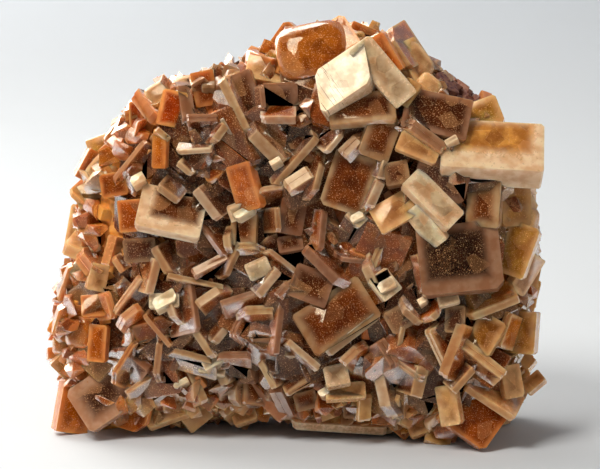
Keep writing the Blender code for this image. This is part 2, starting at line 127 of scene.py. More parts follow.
def front_depth(across, up):
    margin = 1.0 - inside_depth(across, up) / EDGE_WIDTH
    return -FRONT_REACH - FRONT_SLOPE * across + EDGE_FALL * margin * margin


print("crystal face at the heart", round(front_depth(*HEART), 1), "mm")

# %% [markdown]
# ## One tablet
# A real tablet is a stack of thin growth layers that don't end quite together, so its
# side shows fine steps and its broad face shows low terraces.  A cube with a bevel
# would look like plastic.  Here each tablet is a loft of eight-cornered rings: two
# chamfers and a few layers with ledges between them.  A raised terrace on the face can
# be added, but no tablet here is given one.
# Every corner also carries where it lies on its own tablet, and the tablet's colours.
# The union below keeps those values, and the finish uses them to find the milky rim.

# %% The names of what each corner carries
PLACE_ON_TABLET = "place_on_tablet"    # mm from the tablet's middle
HALF_SIZE = "half_size"                # mm, half of length, width and thickness
GROWTH = "growth"                      # rim width in mm, milkiness, clearness
HEART_TINT = "heart_tint"              # with the roughness as its alpha
RIM_TINT = "rim_tint"                  # with the depth of the growth lines as its alpha
ROUNDED = "rounded"                    # 1 on the faces of a rounded lump


# %% One ring of a tablet
def ring_corners(half_length, half_width, cuts, inset):
    """The eight corners of a rectangle with cut corners, drawn in by inset (mm)."""
    length = half_length - inset
    width = half_width - inset
    signs = ((1, 1), (-1, 1), (-1, -1), (1, -1))
    corners = []
    for (side_x, side_y), cut in zip(signs, cuts):
        cut = min(cut, 0.8 * min(length, width))
        on_width = (side_x * (length - cut), side_y * width)
        on_length = (side_x * length, side_y * (width - cut))
        pair = (on_length, on_width) if side_x * side_y > 0 else (on_width, on_length)
        corners.extend(pair)
    return corners


# %% The stack of rings that makes a tablet
CHAMFER = 0.13         # mm, the worn edge of a tablet
LEDGE = 0.03           # mm, the height over which a ledge between layers turns


def layer_rings(size, layers, worn, chance):
    """Height, inset and sideways shift of each ring, from the bottom up (mm)."""
    length, width, thickness = size
    bottom = -thickness / 2
    step = thickness / layers
    rings = [(bottom, worn, (0.0, 0.0))]
    for layer in range(layers):
        inset = 0.0 if layer == layers // 2 else chance.uniform(0.0, 0.03) * width
        shift = (chance.uniform(-0.01, 0.01) * length, chance.uniform(-0.01, 0.01) * width)
        low = bottom + layer * step + (worn if layer == 0 else LEDGE)
        high = bottom + (layer + 1) * step - (worn if layer == layers - 1 else 0.0)
        rings.append((low, inset, shift))
        rings.append((high, inset, shift))
    rings.append((thickness / 2, rings[-1][1] + worn, rings[-1][2]))
    return rings


def terrace_rings(size, top_ring, chance):
    """A low raised terrace on the broad face (mm)."""
    length, width, _ = size
    height, inset, shift = top_ring
    back = inset + chance.uniform(0.10, 0.22) * width
    rise = chance.uniform(0.08, 0.22)
    shift = (shift[0] + chance.uniform(-0.06, 0.06) * length,
             shift[1] + chance.uniform(-0.06, 0.06) * width)
    return [(height + 0.01, back, shift), (height + rise, back + 0.1, shift)]


# %% The tablet as a closed mesh
BLUNT = (0.03, 0.06, 0.1, 0.28)    # how much of a corner is cut, by the width
SHARP = (0.03, 0.05, 0.07, 0.10)


def tablet_mesh(size, placing, growing, chance, layers=2, worn=CHAMFER, terrace=False,
                blunt=BLUNT, slant=0.0):
    """A stepped tablet of this size (mm), set in its place, in metres."""
    length, width, thickness = size
    cuts = [chance.choice(blunt) * width + worn / 2 for _ in range(4)]
    rings = layer_rings(size, layers, worn, chance)
    if terrace:
        rings += terrace_rings(size, rings[-1], chance)
    bm = bmesh.new()
    loops = []
    for height, inset, shift in rings:
        corners = ring_corners(length / 2, width / 2, cuts, inset)
        loops.append([bm.verts.new((x + shift[0] + slant * y, y + shift[1], height))
                      for x, y in corners])
    bm.faces.new(list(reversed(loops[0])))
    bm.faces.new(loops[-1])
    for low, high in zip(loops, loops[1:]):
        for k in range(8):
            bm.faces.new((low[k - 1], low[k], high[k], high[k - 1]))
    mark_corners(bm, size, growing, chance)
    return finish_crystal(bm, placing, "tablet")


def mark_corners(bm, size, growing, chance, rounded=0.0):
    """Writes on each corner its place on the tablet, and the tablet's look."""
    place = bm.loops.layers.float_vector.new(PLACE_ON_TABLET)
    half = bm.loops.layers.float_vector.new(HALF_SIZE)
    growth = bm.loops.layers.float_vector.new(GROWTH)
    heart = bm.loops.layers.float_color.new(HEART_TINT)
    rim = bm.loops.layers.float_color.new(RIM_TINT)
    half_size = Vector(size) / 2
    rim_width = min(growing["rim_width"], 0.7 * min(size[0], size[1]) / 2)
    milk = growing["milk"] * chance.uniform(0.7, 1.1)
    values = Vector((rim_width * chance.uniform(0.75, 1.3), milk, growing["clear"]))
    shade = chance.uniform(0.8, 1.2)
    heart_tint = [min(1.0, c * shade) for c in growing["heart"]] + [growing["rough"]]
    rim_tint = list(growing["rim"]) + [growing["lines"]]
    drift = Vector((*growing["drift"], 0.0))
    round_faces = bm.faces.layers.float.new(ROUNDED)
    for face in bm.faces:
        face[round_faces] = rounded
        for loop in face.loops:
            loop[place] = loop.vert.co + drift
            loop[half] = half_size
            loop[growth] = values
            loop[heart] = heart_tint
            loop[rim] = rim_tint


def finish_crystal(bm, placing, name):
    """Sets a crystal in its place and returns it as an object."""
    bmesh.ops.transform(bm, matrix=Matrix.Scale(MM, 4) @ placing, verts=bm.verts)
    mesh = bpy.data.meshes.new(name)
    bm.to_mesh(mesh)
    bm.free()
    return bpy.data.objects.new(name, mesh)


# %% [markdown]
# ## The looks that a tablet can have
# The specimen isn't one colour.  The left flank is bright orange where light comes
# through it, the right flank is amber, the middle is dark brown with purple patches,
# and some crystals are milky all through.  A few named looks, given one by one for the
# large tablets and by place for the rest, give that change from side to side.

# %% Colours and looks
def paint(red, green, blue):
    """A screen colour, 0 to 255, as the linear colour that a shader takes."""
    return tuple((value / 255.0) ** 2.2 for value in (red, green, blue))


CREAM = paint(252, 204, 150)
BEIGE = paint(218, 184, 142)
PEACH = paint(255, 174, 106)
MAUVE = paint(180, 136, 108)
SATIN = paint(246, 216, 182)


def look(heart, rim, rim_width, milk, clear, rough=0.05, lines=0.3, drift=(0.0, 0.0)):
    """A look: heart and rim colour, rim width (mm), milkiness, clearness, roughness,
    growth lines, and how far the heart lies off the tablet's middle (mm)."""
    return {"heart": paint(*heart), "rim": rim, "rim_width": rim_width, "milk": milk,
            "clear": clear, "rough": rough, "lines": lines, "drift": drift}


LOOKS = {
    "orange": look((255, 134, 30), PEACH, 1.4, 0.75, 0.5),
    "bright": look((255, 142, 14), PEACH, 1.2, 0.5, 0.65),
    "diamond": look((240, 96, 16), PEACH, 1.3, 1.0, 0.4),
    "amber": look((255, 178, 78), CREAM, 1.8, 0.7, 0.55),
    "banded": look((255, 182, 96), SATIN, 3.2, 1.3, 0.35, 0.12, 0.2, (0.0, 1.9)),
    "brown": look((188, 98, 40), BEIGE, 2.4, 0.75, 0.65),
    "core": look((84, 48, 32), MAUVE, 3.4, 0.95, 0.75, 0.06, 0.3, (0.7, 0.7)),
    "pink": look((128, 80, 60), paint(216, 170, 140), 3.6, 1.0, 0.5),
    "dark": look((124, 64, 32), MAUVE, 2.4, 0.8, 0.5),
    "purple": look((146, 88, 62), BEIGE, 1.8, 0.6, 0.55),
    "framed": look((140, 78, 44), SATIN, 2.7, 1.3, 0.4, 0.12, 0.2, (-0.9, 0.9)),
    "cream": look((244, 186, 126), CREAM, 2.6, 0.9, 0.35, 0.1),
    "milky": look((246, 222, 188), SATIN, 2.0, 1.0, 0.3, 0.14, 0.2),
    "red": look((230, 116, 34), PEACH, 1.4, 0.7, 0.6),
    # mirror: the near-white colour is a painted highlight for the flash of the top block, whose face is also turned
    # to reflect the upper-left lamp
    "mirror": look((255, 244, 232), SATIN, 1.2, 0.8, 0.1, 0.12, 1.0),
    "glow": look((255, 150, 46), PEACH, 1.2, 0.5, 0.5, 0.03, 0.0),
    "frosted": look((236, 186, 136), CREAM, 2.2, 1.0, 0.3, 0.16, 0.0),
    # glint: the pale cream colour is a painted highlight on the small faces that flash
    "glint": look((252, 236, 212), SATIN, 1.0, 0.6, 0.1, 0.06, 0.0),
}


# %% The look of a place
def look_at(across, up, chance):
    """A look picked by where the tablet grows."""
    # The left flank and the top get lighter, more orange looks than the middle: partly the crystals' own colour and
    # partly painted light, for the glow through the thin crystals there and the light falling on the top
    if across < -34 or (across < -22 and up > 58):
        names = ("orange", "orange", "bright", "bright", "cream", "red")
    elif across > 38:
        names = ("amber", "amber", "orange", "cream", "brown")
    elif up > 76:
        names = ("orange", "amber", "cream", "orange")
    elif up < 12:
        names = ("orange", "cream", "brown", "red", "cream", "amber")
    else:
        names = ("brown", "brown", "brown", "dark", "dark", "red", "purple", "purple")
    return LOOKS[chance.choice(names)]


def stick_look(across, up, chance):
    """The look of a tablet on edge: a narrow beige side and a broad face as around it."""
    picked = dict(look_at(across, up, chance))
    towards_flank = max(0.0, min(1.0, (abs(across) - 22.0) / 20.0))
    flank = PEACH if across < 0 else CREAM
    plain = chance.choice((BEIGE, BEIGE, BEIGE, SATIN, MAUVE))
    picked["rim"] = [a + (b - a) * towards_flank for a, b in zip(plain, flank)]
    picked["rim_width"] = 1.1
    picked["milk"] = 0.95
    return picked


print("looks:", ", ".join(LOOKS))

# %% [markdown]
# ## The tablets that are placed one by one
# About a hundred and fifty crystals are large enough to know one by one.  Those that
# show a long pale edge are given by the two ends of that edge.  Those that show a broad
# face are given by its middle, its sizes, how it leans and how far it opens to the eye.

# %% Tablets on edge: both ends (mm), thickness (mm), turn (degrees)
EDGES = [
    (-13.8, 73.8, -8.4, 63.6, 1.8, 24), (-9.4, 64.6, -2.0, 57.2, 2.8, 28),
    (-20.8, 65.6, -14.6, 65.6, 1.6, -30), (-16.4, 60.4, -13.2, 64.6, 1.6, 20),
    (-6.4, 66.2, 0.6, 66.2, 1.8, 32), (-6.6, 72.2, -6.0, 65.4, 1.0, -22),
    (-26.2, 53.2, -22.0, 50.0, 1.6, 30), (-19.0, 52.2, -14.4, 46.2, 2.0, 26),
    (-27.2, 63.6, -24.6, 61.4, 1.3, -25), (-22.4, 57.6, -19.4, 55.2, 1.2, 22),
    (-44.2, 52.4, -37.4, 46.2, 1.4, 30), (-36.6, 37.2, -35.0, 43.0, 2.0, -26),
    (-35.4, 39.0, -33.4, 36.0, 1.4, 24), (-29.0, 31.6, -27.2, 38.6, 1.8, 28),
    (-27.2, 41.0, -23.4, 34.2, 1.8, 24), (-37.2, 32.0, -35.6, 26.6, 1.4, -28),
    (-34.8, 25.0, -30.0, 29.0, 1.8, -24), (-24.6, 31.6, -22.2, 25.4, 1.6, 26),
    (-20.4, 26.4, -15.4, 19.0, 1.6, 22), (-21.8, 18.4, -17.6, 9.8, 1.8, -30),
    (-24.0, 18.0, -21.8, 11.2, 1.2, 30), (-15.4, 18.0, -13.2, 13.6, 1.8, 24),
    (-19.8, 35.4, -12.6, 39.2, 1.8, -28), (-13.0, 45.0, -12.4, 38.8, 1.6, 24),
    (-11.4, 40.8, -5.6, 41.0, 1.3, -32), (-18.8, 29.2, -12.6, 33.4, 2.0, -30),
    (-7.4, 31.6, -3.2, 36.6, 1.8, 20), (-2.8, 30.8, 0.4, 34.4, 1.6, -24),
    (-4.0, 19.8, -2.6, 31.0, 1.4, 30), (-11.4, 27.6, -3.8, 27.8, 2.0, -30),
    (-10.0, 22.4, -4.0, 22.6, 1.6, 28), (-16.0, 22.0, -13.2, 25.4, 1.6, 24),
    (-15.2, 19.2, -8.2, 19.4, 1.6, -28), (-28.2, 11.4, -22.8, 12.0, 1.6, -34),
    (-9.6, 14.2, -1.6, 6.8, 2.4, 26), (-15.2, 11.2, -9.6, 13.0, 1.6, -26),
    (-14.4, 7.0, -9.6, 11.0, 1.8, -22), (-6.4, 18.4, -3.4, 13.0, 1.4, 26),
    (-0.4, 9.2, 3.0, 7.2, 1.8, 24), (-0.4, 6.0, 18.6, 4.8, 2.0, 36),
    (2.2, 40.8, 10.4, 32.8, 2.0, 22), (13.6, 39.2, 17.2, 32.0, 2.0, 34),
    (-3.8, 48.6, -3.4, 43.6, 1.1, -24), (3.4, 49.6, 5.8, 59.2, 1.6, 30),
    (5.8, 59.2, 10.4, 64.6, 1.3, 30), (-1.4, 52.0, 3.6, 55.2, 2.8, -26),
    (9.4, 58.6, 14.0, 63.2, 2.4, -28), (13.6, 47.2, 16.6, 54.0, 2.0, 26),
    (16.6, 54.0, 18.0, 57.4, 2.0, 26), (20.6, 65.6, 29.2, 59.4, 2.4, -24),
    (20.4, 30.4, 25.2, 26.2, 1.6, 32), (25.2, 26.2, 28.8, 29.8, 1.6, 28),
    (24.4, 39.6, 26.0, 32.0, 2.0, -22), (6.2, 20.4, 16.2, 28.0, 2.0, 34),
    (9.4, 18.0, 14.0, 22.4, 2.0, -20), (16.6, 22.6, 19.8, 17.2, 2.0, -28),
    (16.2, 19.6, 18.8, 7.0, 2.4, 26), (19.6, 7.4, 21.0, 13.2, 1.4, 22),
    (24.8, 17.6, 23.4, 11.6, 2.6, -24), (33.4, 25.8, 29.4, 15.4, 2.2, 26),
    (33.8, 27.2, 44.0, 31.0, 1.8, 30), (32.6, 22.0, 40.8, 15.4, 2.2, -26),
    (30.8, 12.8, 34.8, 17.4, 1.4, 24), (34.0, 13.8, 43.6, 7.6, 1.6, 30),
    (40.0, 21.2, 42.4, 28.0, 1.6, -26), (20.4, 21.2, 21.2, 25.2, 1.0, 24),
    (18.0, 83.0, 23.0, 75.4, 2.4, 30),
]

# %% Tablets face out: middle, length, width, thickness (mm), lean, opening (degrees), rise (mm), look
FACES = [
    (-38.0, 11.2, 12.0, 10.0, 3.2, 34, 76, 1.0, "pink"),
    (-43.6, 8.7, 11.0, 7.0, 3.0, 80, 118, 0.0, "orange"),
    (-25.8, 8.4, 9.0, 5.5, 2.4, 20, 66, 0.5, "cream"),
    (-45.4, 26.2, 8.0, 6.0, 2.0, 60, 62, 0.0, "orange"),
    (-39.0, 29.4, 6.0, 4.5, 1.8, 4, 72, 0.5, "red"),
    (-42.2, 34.6, 6.0, 3.4, 1.6, 92, 60, 0.0, "cream"),
    (-38.6, 34.8, 5.5, 4.0, 1.8, 78, 112, 0.3, "cream"),
    (-39.8, 43.6, 8.0, 5.0, 2.2, 85, 70, 0.0, "bright"),
    (-44.0, 44.0, 10.5, 4.0, 2.0, 80, 55, 0.0, "cream"),
    (-44.8, 17.8, 6.5, 5.0, 2.4, 45, 108, 0.3, "amber"),
    (-39.0, 21.8, 7.5, 4.0, 2.0, 86, 66, 0.4, "orange"),
    (-40.8, 51.6, 6.0, 4.6, 2.2, 30, 70, 0.2, "amber"),
    (-39.8, 56.6, 6.4, 5.0, 2.4, 62, 112, 0.2, "orange"),
    (-37.8, 61.0, 6.4, 5.0, 2.2, 20, 64, 0.2, "amber"),
    (-35.4, 53.2, 5.4, 4.8, 2.0, 10, 82, 0.5, "red"),
    (-32.0, 47.0, 6.4, 5.2, 2.2, 95, 76, 0.6, "red"),
    (-23.8, 48.0, 13.0, 9.5, 3.0, -12, 62, 0.8, "framed"),
    (-30.2, 40.2, 6.4, 4.8, 1.8, 4, 98, 0.4, "purple"),
    (-26.4, 59.6, 6.8, 3.2, 1.6, 88, 62, 0.6, "orange"),
    (-23.8, 68.0, 7.2, 5.2, 2.4, 78, 82, 0.4, "diamond"),
    (-31.2, 66.8, 5.6, 3.2, 1.8, 92, 64, 0.2, "diamond"),
    (-17.4, 72.0, 7.0, 4.8, 2.0, 102, 104, 0.4, "red"),
    (-9.6, 70.4, 9.0, 5.8, 2.0, 112, 72, -0.6, "dark"),
    (-2.8, 69.8, 7.4, 6.0, 2.0, 2, 98, -0.6, "dark"),
    (-4.8, 75.6, 9.0, 5.4, 2.4, -10, 60, 0.6, "cream"),
    (1.8, 80.2, 9.0, 8.0, 5.5, 14, 70, 1.0, "orange"),
    (7.4, 81.2, 9.5, 8.0, 5.0, 32, 62, 0.0, "orange"),
    (9.4, 73.8, 11.5, 8.4, 6.0, 34, 66, 2.4, "mirror"),
    (17.2, 74.8, 14.5, 5.4, 2.6, -50, 84, 1.4, "milky"),
    (17.8, 78.2, 8.4, 3.8, 2.0, -60, 112, 1.2, "orange"),
    (24.2, 76.4, 10.5, 5.0, 2.6, -64, 52, 0.8, "cream"),
    (22.0, 70.8, 5.4, 3.4, 1.6, 58, 70, 0.6, "amber"),
    (13.2, 68.0, 13.0, 6.4, 3.0, 5, 66, 0.2, "brown"),
    (27.8, 66.8, 13.0, 8.5, 5.0, -12, 70, 0.2, "dark"),
    (16.8, 62.0, 8.8, 6.4, 2.4, 70, 104, 0.0, "brown"),
    (24.2, 60.2, 8.4, 4.2, 2.0, -22, 74, 0.8, "cream"),
    (20.0, 55.2, 4.8, 4.6, 4.0, 10, 78, 0.8, "purple"),
    (28.8, 54.0, 10.5, 8.0, 2.6, -14, 100, -0.8, "dark"),
    (38.4, 60.6, 20.0, 11.0, 6.5, -3, 58, 1.7, "banded"),
    (37.2, 67.0, 6.6, 6.0, 3.0, 20, 70, 0.2, "amber"),
    (27.2, 50.2, 12.5, 5.2, 2.6, -45, 66, 1.2, "milky"),
    (25.4, 44.8, 9.0, 4.2, 2.4, -52, 118, 0.8, "milky"),
    (19.4, 47.8, 8.4, 5.8, 2.2, 30, 76, 0.4, "cream"),
    (12.4, 46.8, 3.8, 3.0, 1.4, -45, 70, 0.8, "milky"),
    (10.8, 53.4, 11.5, 9.0, 2.4, 72, 82, -0.2, "brown"),
    (-9.8, 52.4, 9.5, 5.4, 2.6, 106, 62, 1.2, "orange"),
    (-10.0, 47.8, 5.4, 3.2, 1.6, 20, 112, 0.8, "milky"),
    (-9.8, 44.4, 6.6, 5.2, 2.0, 88, 76, -0.4, "brown"),
    (-0.2, 47.0, 7.4, 5.2, 2.0, 80, 102, -1.2, "dark"),
    (-0.6, 41.6, 5.0, 3.4, 1.6, 10, 70, -1.0, "dark"),
    (32.2, 38.8, 16.0, 13.5, 4.0, 6, 80, 0.8, "core"),
    (30.0, 31.0, 4.2, 2.8, 1.6, 15, 66, 0.8, "milky"),
    (36.8, 49.4, 9.4, 6.6, 3.0, 86, 74, -0.4, "brown"),
    (43.6, 49.4, 9.0, 6.4, 5.0, 92, 112, 0.2, "amber"),
    (43.6, 40.4, 10.5, 6.4, 2.6, 70, 72, 0.4, "amber"),
    (46.0, 35.4, 8.4, 4.4, 2.2, 58, 128, 0.4, "cream"),
    (37.4, 24.0, 7.4, 5.8, 2.4, 60, 74, -0.2, "amber"),
    (45.0, 24.0, 8.4, 5.4, 2.4, 86, 66, 0.2, "amber"),
    (43.2, 14.4, 6.6, 4.4, 2.2, 100, 118, 0.6, "cream"),
    (47.4, 14.2, 4.6, 3.0, 1.8, 40, 56, 0.4, "cream"),
    (3.4, 33.4, 8.0, 6.8, 2.0, -20, 82, 0.0, "dark"),
    (8.4, 27.4, 15.0, 9.5, 3.0, 32, 80, 0.6, "brown"),
    (21.2, 27.2, 6.4, 4.8, 2.0, 30, 98, -0.4, "purple"),
    (31.4, 26.8, 5.4, 4.0, 1.8, 88, 80, -0.4, "purple"),
    (17.8, 33.6, 5.4, 4.6, 2.0, -52, 78, 1.0, "milky"),
    (8.4, 15.8, 4.8, 4.2, 3.6, 12, 76, 1.0, "milky"),
    (10.2, 12.6, 8.0, 3.4, 3.0, 4, 72, 0.6, "cream"),
    (11.8, 9.6, 5.6, 4.2, 2.0, 92, 80, -0.6, "purple"),
    (2.4, 10.4, 4.6, 3.8, 2.0, 15, 84, 0.0, "brown"),
    (-10.0, 7.4, 5.0, 3.6, 2.6, 18, 72, 0.4, "cream"),
    (-25.4, 30.4, 6.0, 3.0, 1.6, 2, 72, 1.0, "milky"),
    (-16.0, 17.2, 5.4, 3.0, 1.6, -10, 70, 0.6, "milky"),
    (-6.8, 36.4, 4.8, 3.4, 1.6, 24, 108, 0.6, "milky"),
    (30.2, 9.6, 8.0, 4.4, 2.2, 100, 62, 0.8, "cream"),
    (35.4, 7.8, 11.5, 9.5, 3.4, -36, 78, 0.6, "red"),
    (25.0, 5.4, 5.0, 3.6, 2.2, 20, 68, 0.6, "cream"),
    (21.4, 4.6, 4.4, 3.2, 2.0, -40, 112, 0.4, "orange"),
    (29.0, 3.4, 5.2, 3.8, 2.4, -20, 64, 0.6, "amber"),
]


# %% Directions of a tablet
def view_axes():
    """Right, up and towards the eye, for the front view."""
    right = Vector((1.0, 0.0, 0.0))
    upward = Vector((0.0, math.sin(ELEVATION), math.cos(ELEVATION)))
    to_eye = Vector((0.0, -math.cos(ELEVATION), math.sin(ELEVATION)))
    return right, upward, to_eye


def tablet_frame(lean, opening):
    """Length, width and face directions of a tablet from its two angles."""
    right, upward, to_eye = view_axes()
    lean = math.radians(lean)
    opening = math.radians(opening)
    length = right * math.cos(lean) + upward * math.sin(lean)
    across = upward * math.cos(lean) - right * math.sin(lean)
    face = across * math.cos(opening) + to_eye * math.sin(opening)
    return length, length.cross(face), face


def axes_matrix(centre, length, width, face):
    turned = Matrix((length, width, face)).transposed().to_4x4()
    return Matrix.Translation(centre - ORIGIN) @ turned


# %% Grow the listed tablets
def edge_tablets(chance, detail):
    made = []
    for x1, up1, x2, up2, thickness, turn in EDGES:
        run = math.hypot(x2 - x1, up2 - up1)
        lean = math.degrees(math.atan2(up2 - up1, x2 - x1))
        middle_x = (x1 + x2) / 2
        middle_up = (up1 + up2) / 2
        width = min(9.0, 4.5 + 0.45 * run)
        length_way, width_way, face_way = tablet_frame(lean + chance.uniform(-1, 1), turn)
        outward = width_way if width_way.y < 0 else -width_way
        outer = seen_point(middle_x, middle_up, front_depth(middle_x, middle_up))
        centre = outer - outward * (width / 2 - chance.uniform(0.6, 1.8))
        placing = axes_matrix(centre, length_way, width_way, face_way)
        chance.choice((-1, 1))
        growing = stick_look(middle_x, middle_up, detail)
        size = (run, width, thickness)
        made.append(tablet_mesh(size, placing, growing, detail))
    return made


TOP_SLANT = -0.42              # the block at the top has a slanted face


def face_tablets(chance, detail):
    made = []
    for x, up, length, width, thickness, lean, opening, rise, name in FACES:
        length_way, width_way, face_way = tablet_frame(lean, opening)
        outer = seen_point(x, up, front_depth(x, up) - rise)
        centre = outer - face_way * (thickness / 2)
        placing = axes_matrix(centre, length_way, width_way, face_way)
        chance.choice((-1, 1))
        chance.uniform(0.14, 0.24)
        size = (length, width, thickness)
        slant = TOP_SLANT if name == "mirror" else 0.0
        made.append(tablet_mesh(size, placing, LOOKS[name], detail, blunt=SHARP, slant=slant))
    return made


FILL_SEED = 21
placing_chance = random.Random(FILL_SEED)
detail_chance = random.Random(77)
placed = edge_tablets(placing_chance, detail_chance)
placed += face_tablets(placing_chance, detail_chance)
print("hand-placed tablets:", len(placed))

# %% [markdown]
# ## The mass and the tablets between
# Between the large tablets the specimen is crowded with smaller ones.  They are strewn
# by chance, evenly over the mass, with a fixed seed, so that every run grows the same
# specimen.  A place is kept only where it is clear of its neighbours.  First come the
# ones that the solid model has too, and then two finer crops of small tablets.

# %% The shape of the mass
def mass_point(way):
    """The point of the mass in one direction of a unit sphere (mm)."""
    level = math.hypot(way.x, way.z)
    angle = math.atan2(way.z, way.x)
    spread = level ** MASS_BULGE
    reach = (outline_radius(angle) - MASS_INSET) * spread
    across = HEART[0] + reach * math.cos(angle)
    up = HEART[1] + reach * math.sin(angle)
    depth = abs(way.y) ** MASS_BULGE
    front = FRONT_REACH + FRONT_SLOPE * across - MASS_SUNK
    y = -front * depth if way.y < 0 else BACK_REACH * depth
    point = seen_point(across, up, y)
    lump = noise(Vector((across, y, up)) * 0.11)
    point += Vector(way).normalized() * lump * MASS_ROUGHNESS
    stands = (y - REST_FRONT + REST_SPREAD * max(0.0, abs(across) - 15.0)) / 8.0
    if point.z < REST_TOP:
        point.z -= (REST_TOP - point.z) * 0.5 * max(0.0, min(1.0, stands))
    return point


def mass_object(subdivisions, name):
    bpy.ops.mesh.primitive_ico_sphere_add(subdivisions=subdivisions, radius=1.0)
    mass = bpy.context.object
    mass.name = name
    for vertex in mass.data.vertices:
        vertex.co = mass_point(vertex.co) * MM
    return mass


coarse_mass = mass_object(3, "coarse_mass")

# %% Places on the mass for the smaller tablets
FILL_TRIES = 1400
FILL_SPACING = 7.7             # mm
BACK_SPACING = 11.0            # mm
FILL_LENGTH = (5.5, 10.5)      # mm
FILL_THICKNESS = (1.7, 3.0)    # mm
FILL_CLEAR = 5.6               # mm
UNDERSIDE_CLEAR = 5.0          # mm
FRONT_FACING = -0.6            # y of the outward direction up to which a place is front


def skin_places(skin, tries, chance):
    """Random places on a mesh, even by area: point and outward direction (mm)."""
    skin.calc_loop_triangles()
    corners = [[skin.vertices[i].co / MM for i in tri.vertices] for tri in skin.loop_triangles]
    areas = [tri.area for tri in skin.loop_triangles]
    for _ in range(tries):
        a, b, c = chance.choices(corners, areas)[0]
        s = math.sqrt(chance.random())
        t = chance.random()
        yield a * (1 - s) + b * (s * (1 - t)) + c * (s * t), (b - a).cross(c - a).normalized()


def random_side(outward, chance):
    """A random direction square to this one."""
    while True:
        way = Vector([chance.gauss(0, 1) for _ in range(3)])
        side = way - outward * way.dot(outward)
        if side.length > 0.2:
            return side.normalized()


hand_placed = [((x1 + x2) / 2, (up1 + up2) / 2) for x1, up1, x2, up2, _, _ in EDGES]
hand_placed += [(row[0], row[1]) for row in FACES]


def is_free(root, outward, grown):
    spacing = BACK_SPACING if outward.y > 0.5 else FILL_SPACING
    if any((root - other).length < spacing for other in grown):
        return False
    if root.z < UNDERSIDE_CLEAR:
        return False
    if outward.y > FRONT_FACING:
        return True
    across, up = seen_place(root)
    return all(math.hypot(across - x, up - height) > FILL_CLEAR for x, height in hand_placed)


def fill_frame(outward, chance):
    """Directions of a fill tablet: broad face out on the front, on edge elsewhere."""
    if outward.y < FRONT_FACING:
        face = (outward + random_side(outward, chance) * chance.uniform(0.1, 0.8)).normalized()
        tip = random_side(face, chance)
    else:
        tip = (outward + random_side(outward, chance) * chance.uniform(0.1, 0.7)).normalized()
        face = random_side(tip, chance)
    return face.cross(tip), tip, face


# %% Grow the tablets that the solid model has too
def fill_tablets(skin, chance, detail):
    made = []
    grown = []
    for root, outward in skin_places(skin, FILL_TRIES, chance):
        if not is_free(root, outward, grown):
            continue
        grown.append(root)
        length = chance.uniform(*FILL_LENGTH)
        width = length * chance.uniform(0.7, 0.95)
        thickness = chance.uniform(*FILL_THICKNESS)
        centre = root + outward * chance.uniform(-0.2, 1.6)
        placing = axes_matrix(centre, *fill_frame(outward, chance))
        chance.choice((-1, 1))
        growing = dict(look_at(*seen_place(root), detail))
        if outward.y < FRONT_FACING:
            growing["rim_width"] = 0.9
        size = (length, width, thickness)
        made.append(tablet_mesh(size, placing, growing, detail))
    return made, grown


filled, fill_roots = fill_tablets(coarse_mass.data, placing_chance, detail_chance)
print("fill tablets:", len(filled))

# %% Grow the crops that only the finished surface has
def is_front(root, outward):
    """Whether a place lies on the crystal face, well inside the outline."""
    return outward.y < -0.5 and inside_depth(*seen_place(root)) > 7.0


def is_open_front(root, outward):
    """Whether a place of the front is clear of the listed tablets."""
    across, up = seen_place(root)
    return is_front(root, outward) and not is_behind_face(across, up) and all(
        math.hypot(across - x, up - height) > 3.6 for x, height in hand_placed)


def crop(skin, tries, spacing, wanted, grow, chance):
    """Tablets at random places, each a little apart from the rest of its crop."""
    made = []
    grown = []
    for root, outward in skin_places(skin, tries, chance):
        if root.z < 3.0 or not wanted(root, outward):
            continue
        if any((root - other).length < spacing for other in grown):
            continue
        grown.append(root)
        made.append(grow(root, outward, chance))
    return made


def is_behind_face(across, up):
    """Whether a listed face lies in front of a place."""
    return any(math.hypot(across - row[0], up - row[1]) < 0.5 * row[2] + 2.2
               for row in FACES if row[2] > 5.5)


def backing_tablet(root, outward, chance):
    """A thick tablet between the others, whose broad face closes a gap in the front."""
    across, up = seen_place(root)
    length = chance.uniform(9.0, 15.0) * (0.5 + 0.5 * inside_depth(across, up) / EDGE_WIDTH)
    size = (length, length * chance.uniform(0.7, 0.95), 6.0)
    face = (outward + random_side(outward, chance) * chance.uniform(0.1, 0.55)).normalized()
    tip = random_side(face, chance)
    sunk = chance.uniform(0.6, 2.6) + 1.8 * is_behind_face(across, up)
    surface = seen_point(across, up, front_depth(across, up) + sunk)
    centre = surface - face * 3.0
    growing = dict(look_at(across, up, chance))
    growing["milk"] = 0.2
    growing["clear"] = 0.7
    growing["rough"] = 0.2
    return tablet_mesh(size, axes_matrix(centre, face.cross(tip), tip, face), growing, chance)


def front_stick(root, outward, chance):
    """A thin tablet on edge between the listed ones."""
    across, up = seen_place(root)
    length = chance.uniform(7.0, 13.0)
    size = (length, chance.uniform(5.0, 8.0), chance.uniform(0.9, 1.6))
    turn = chance.uniform(15.0, 50.0) * chance.choice((-1, 1))
    length_way, width_way, face_way = tablet_frame(chance.uniform(0, 180), turn)
    near = width_way if width_way.y < 0 else -width_way
    surface = seen_point(across, up, front_depth(across, up) - chance.uniform(-0.6, 1.0))
    placing = axes_matrix(surface - near * size[1] / 2, length_way, width_way, face_way)
    placing = placing @ Matrix.Rotation(math.radians(chance.uniform(-18.0, 18.0)), 4, "Z")
    return tablet_mesh(size, placing, stick_look(across, up, chance), chance)


def rim_tablet(root, outward, chance):
    """A tablet of the flanks, the top and the back, standing on edge."""
    length = chance.uniform(5.5, 9.0)
    size = (length, length * chance.uniform(0.6, 0.95), chance.uniform(1.5, 3.0))
    tip = (outward + random_side(outward, chance) * chance.uniform(0.0, 0.9)).normalized()
    face = random_side(tip, chance)
    centre = root + outward * chance.uniform(-0.4, 1.4)
    growing = look_at(*seen_place(root), chance)
    return tablet_mesh(size, axes_matrix(centre, face.cross(tip), tip, face), growing, chance)


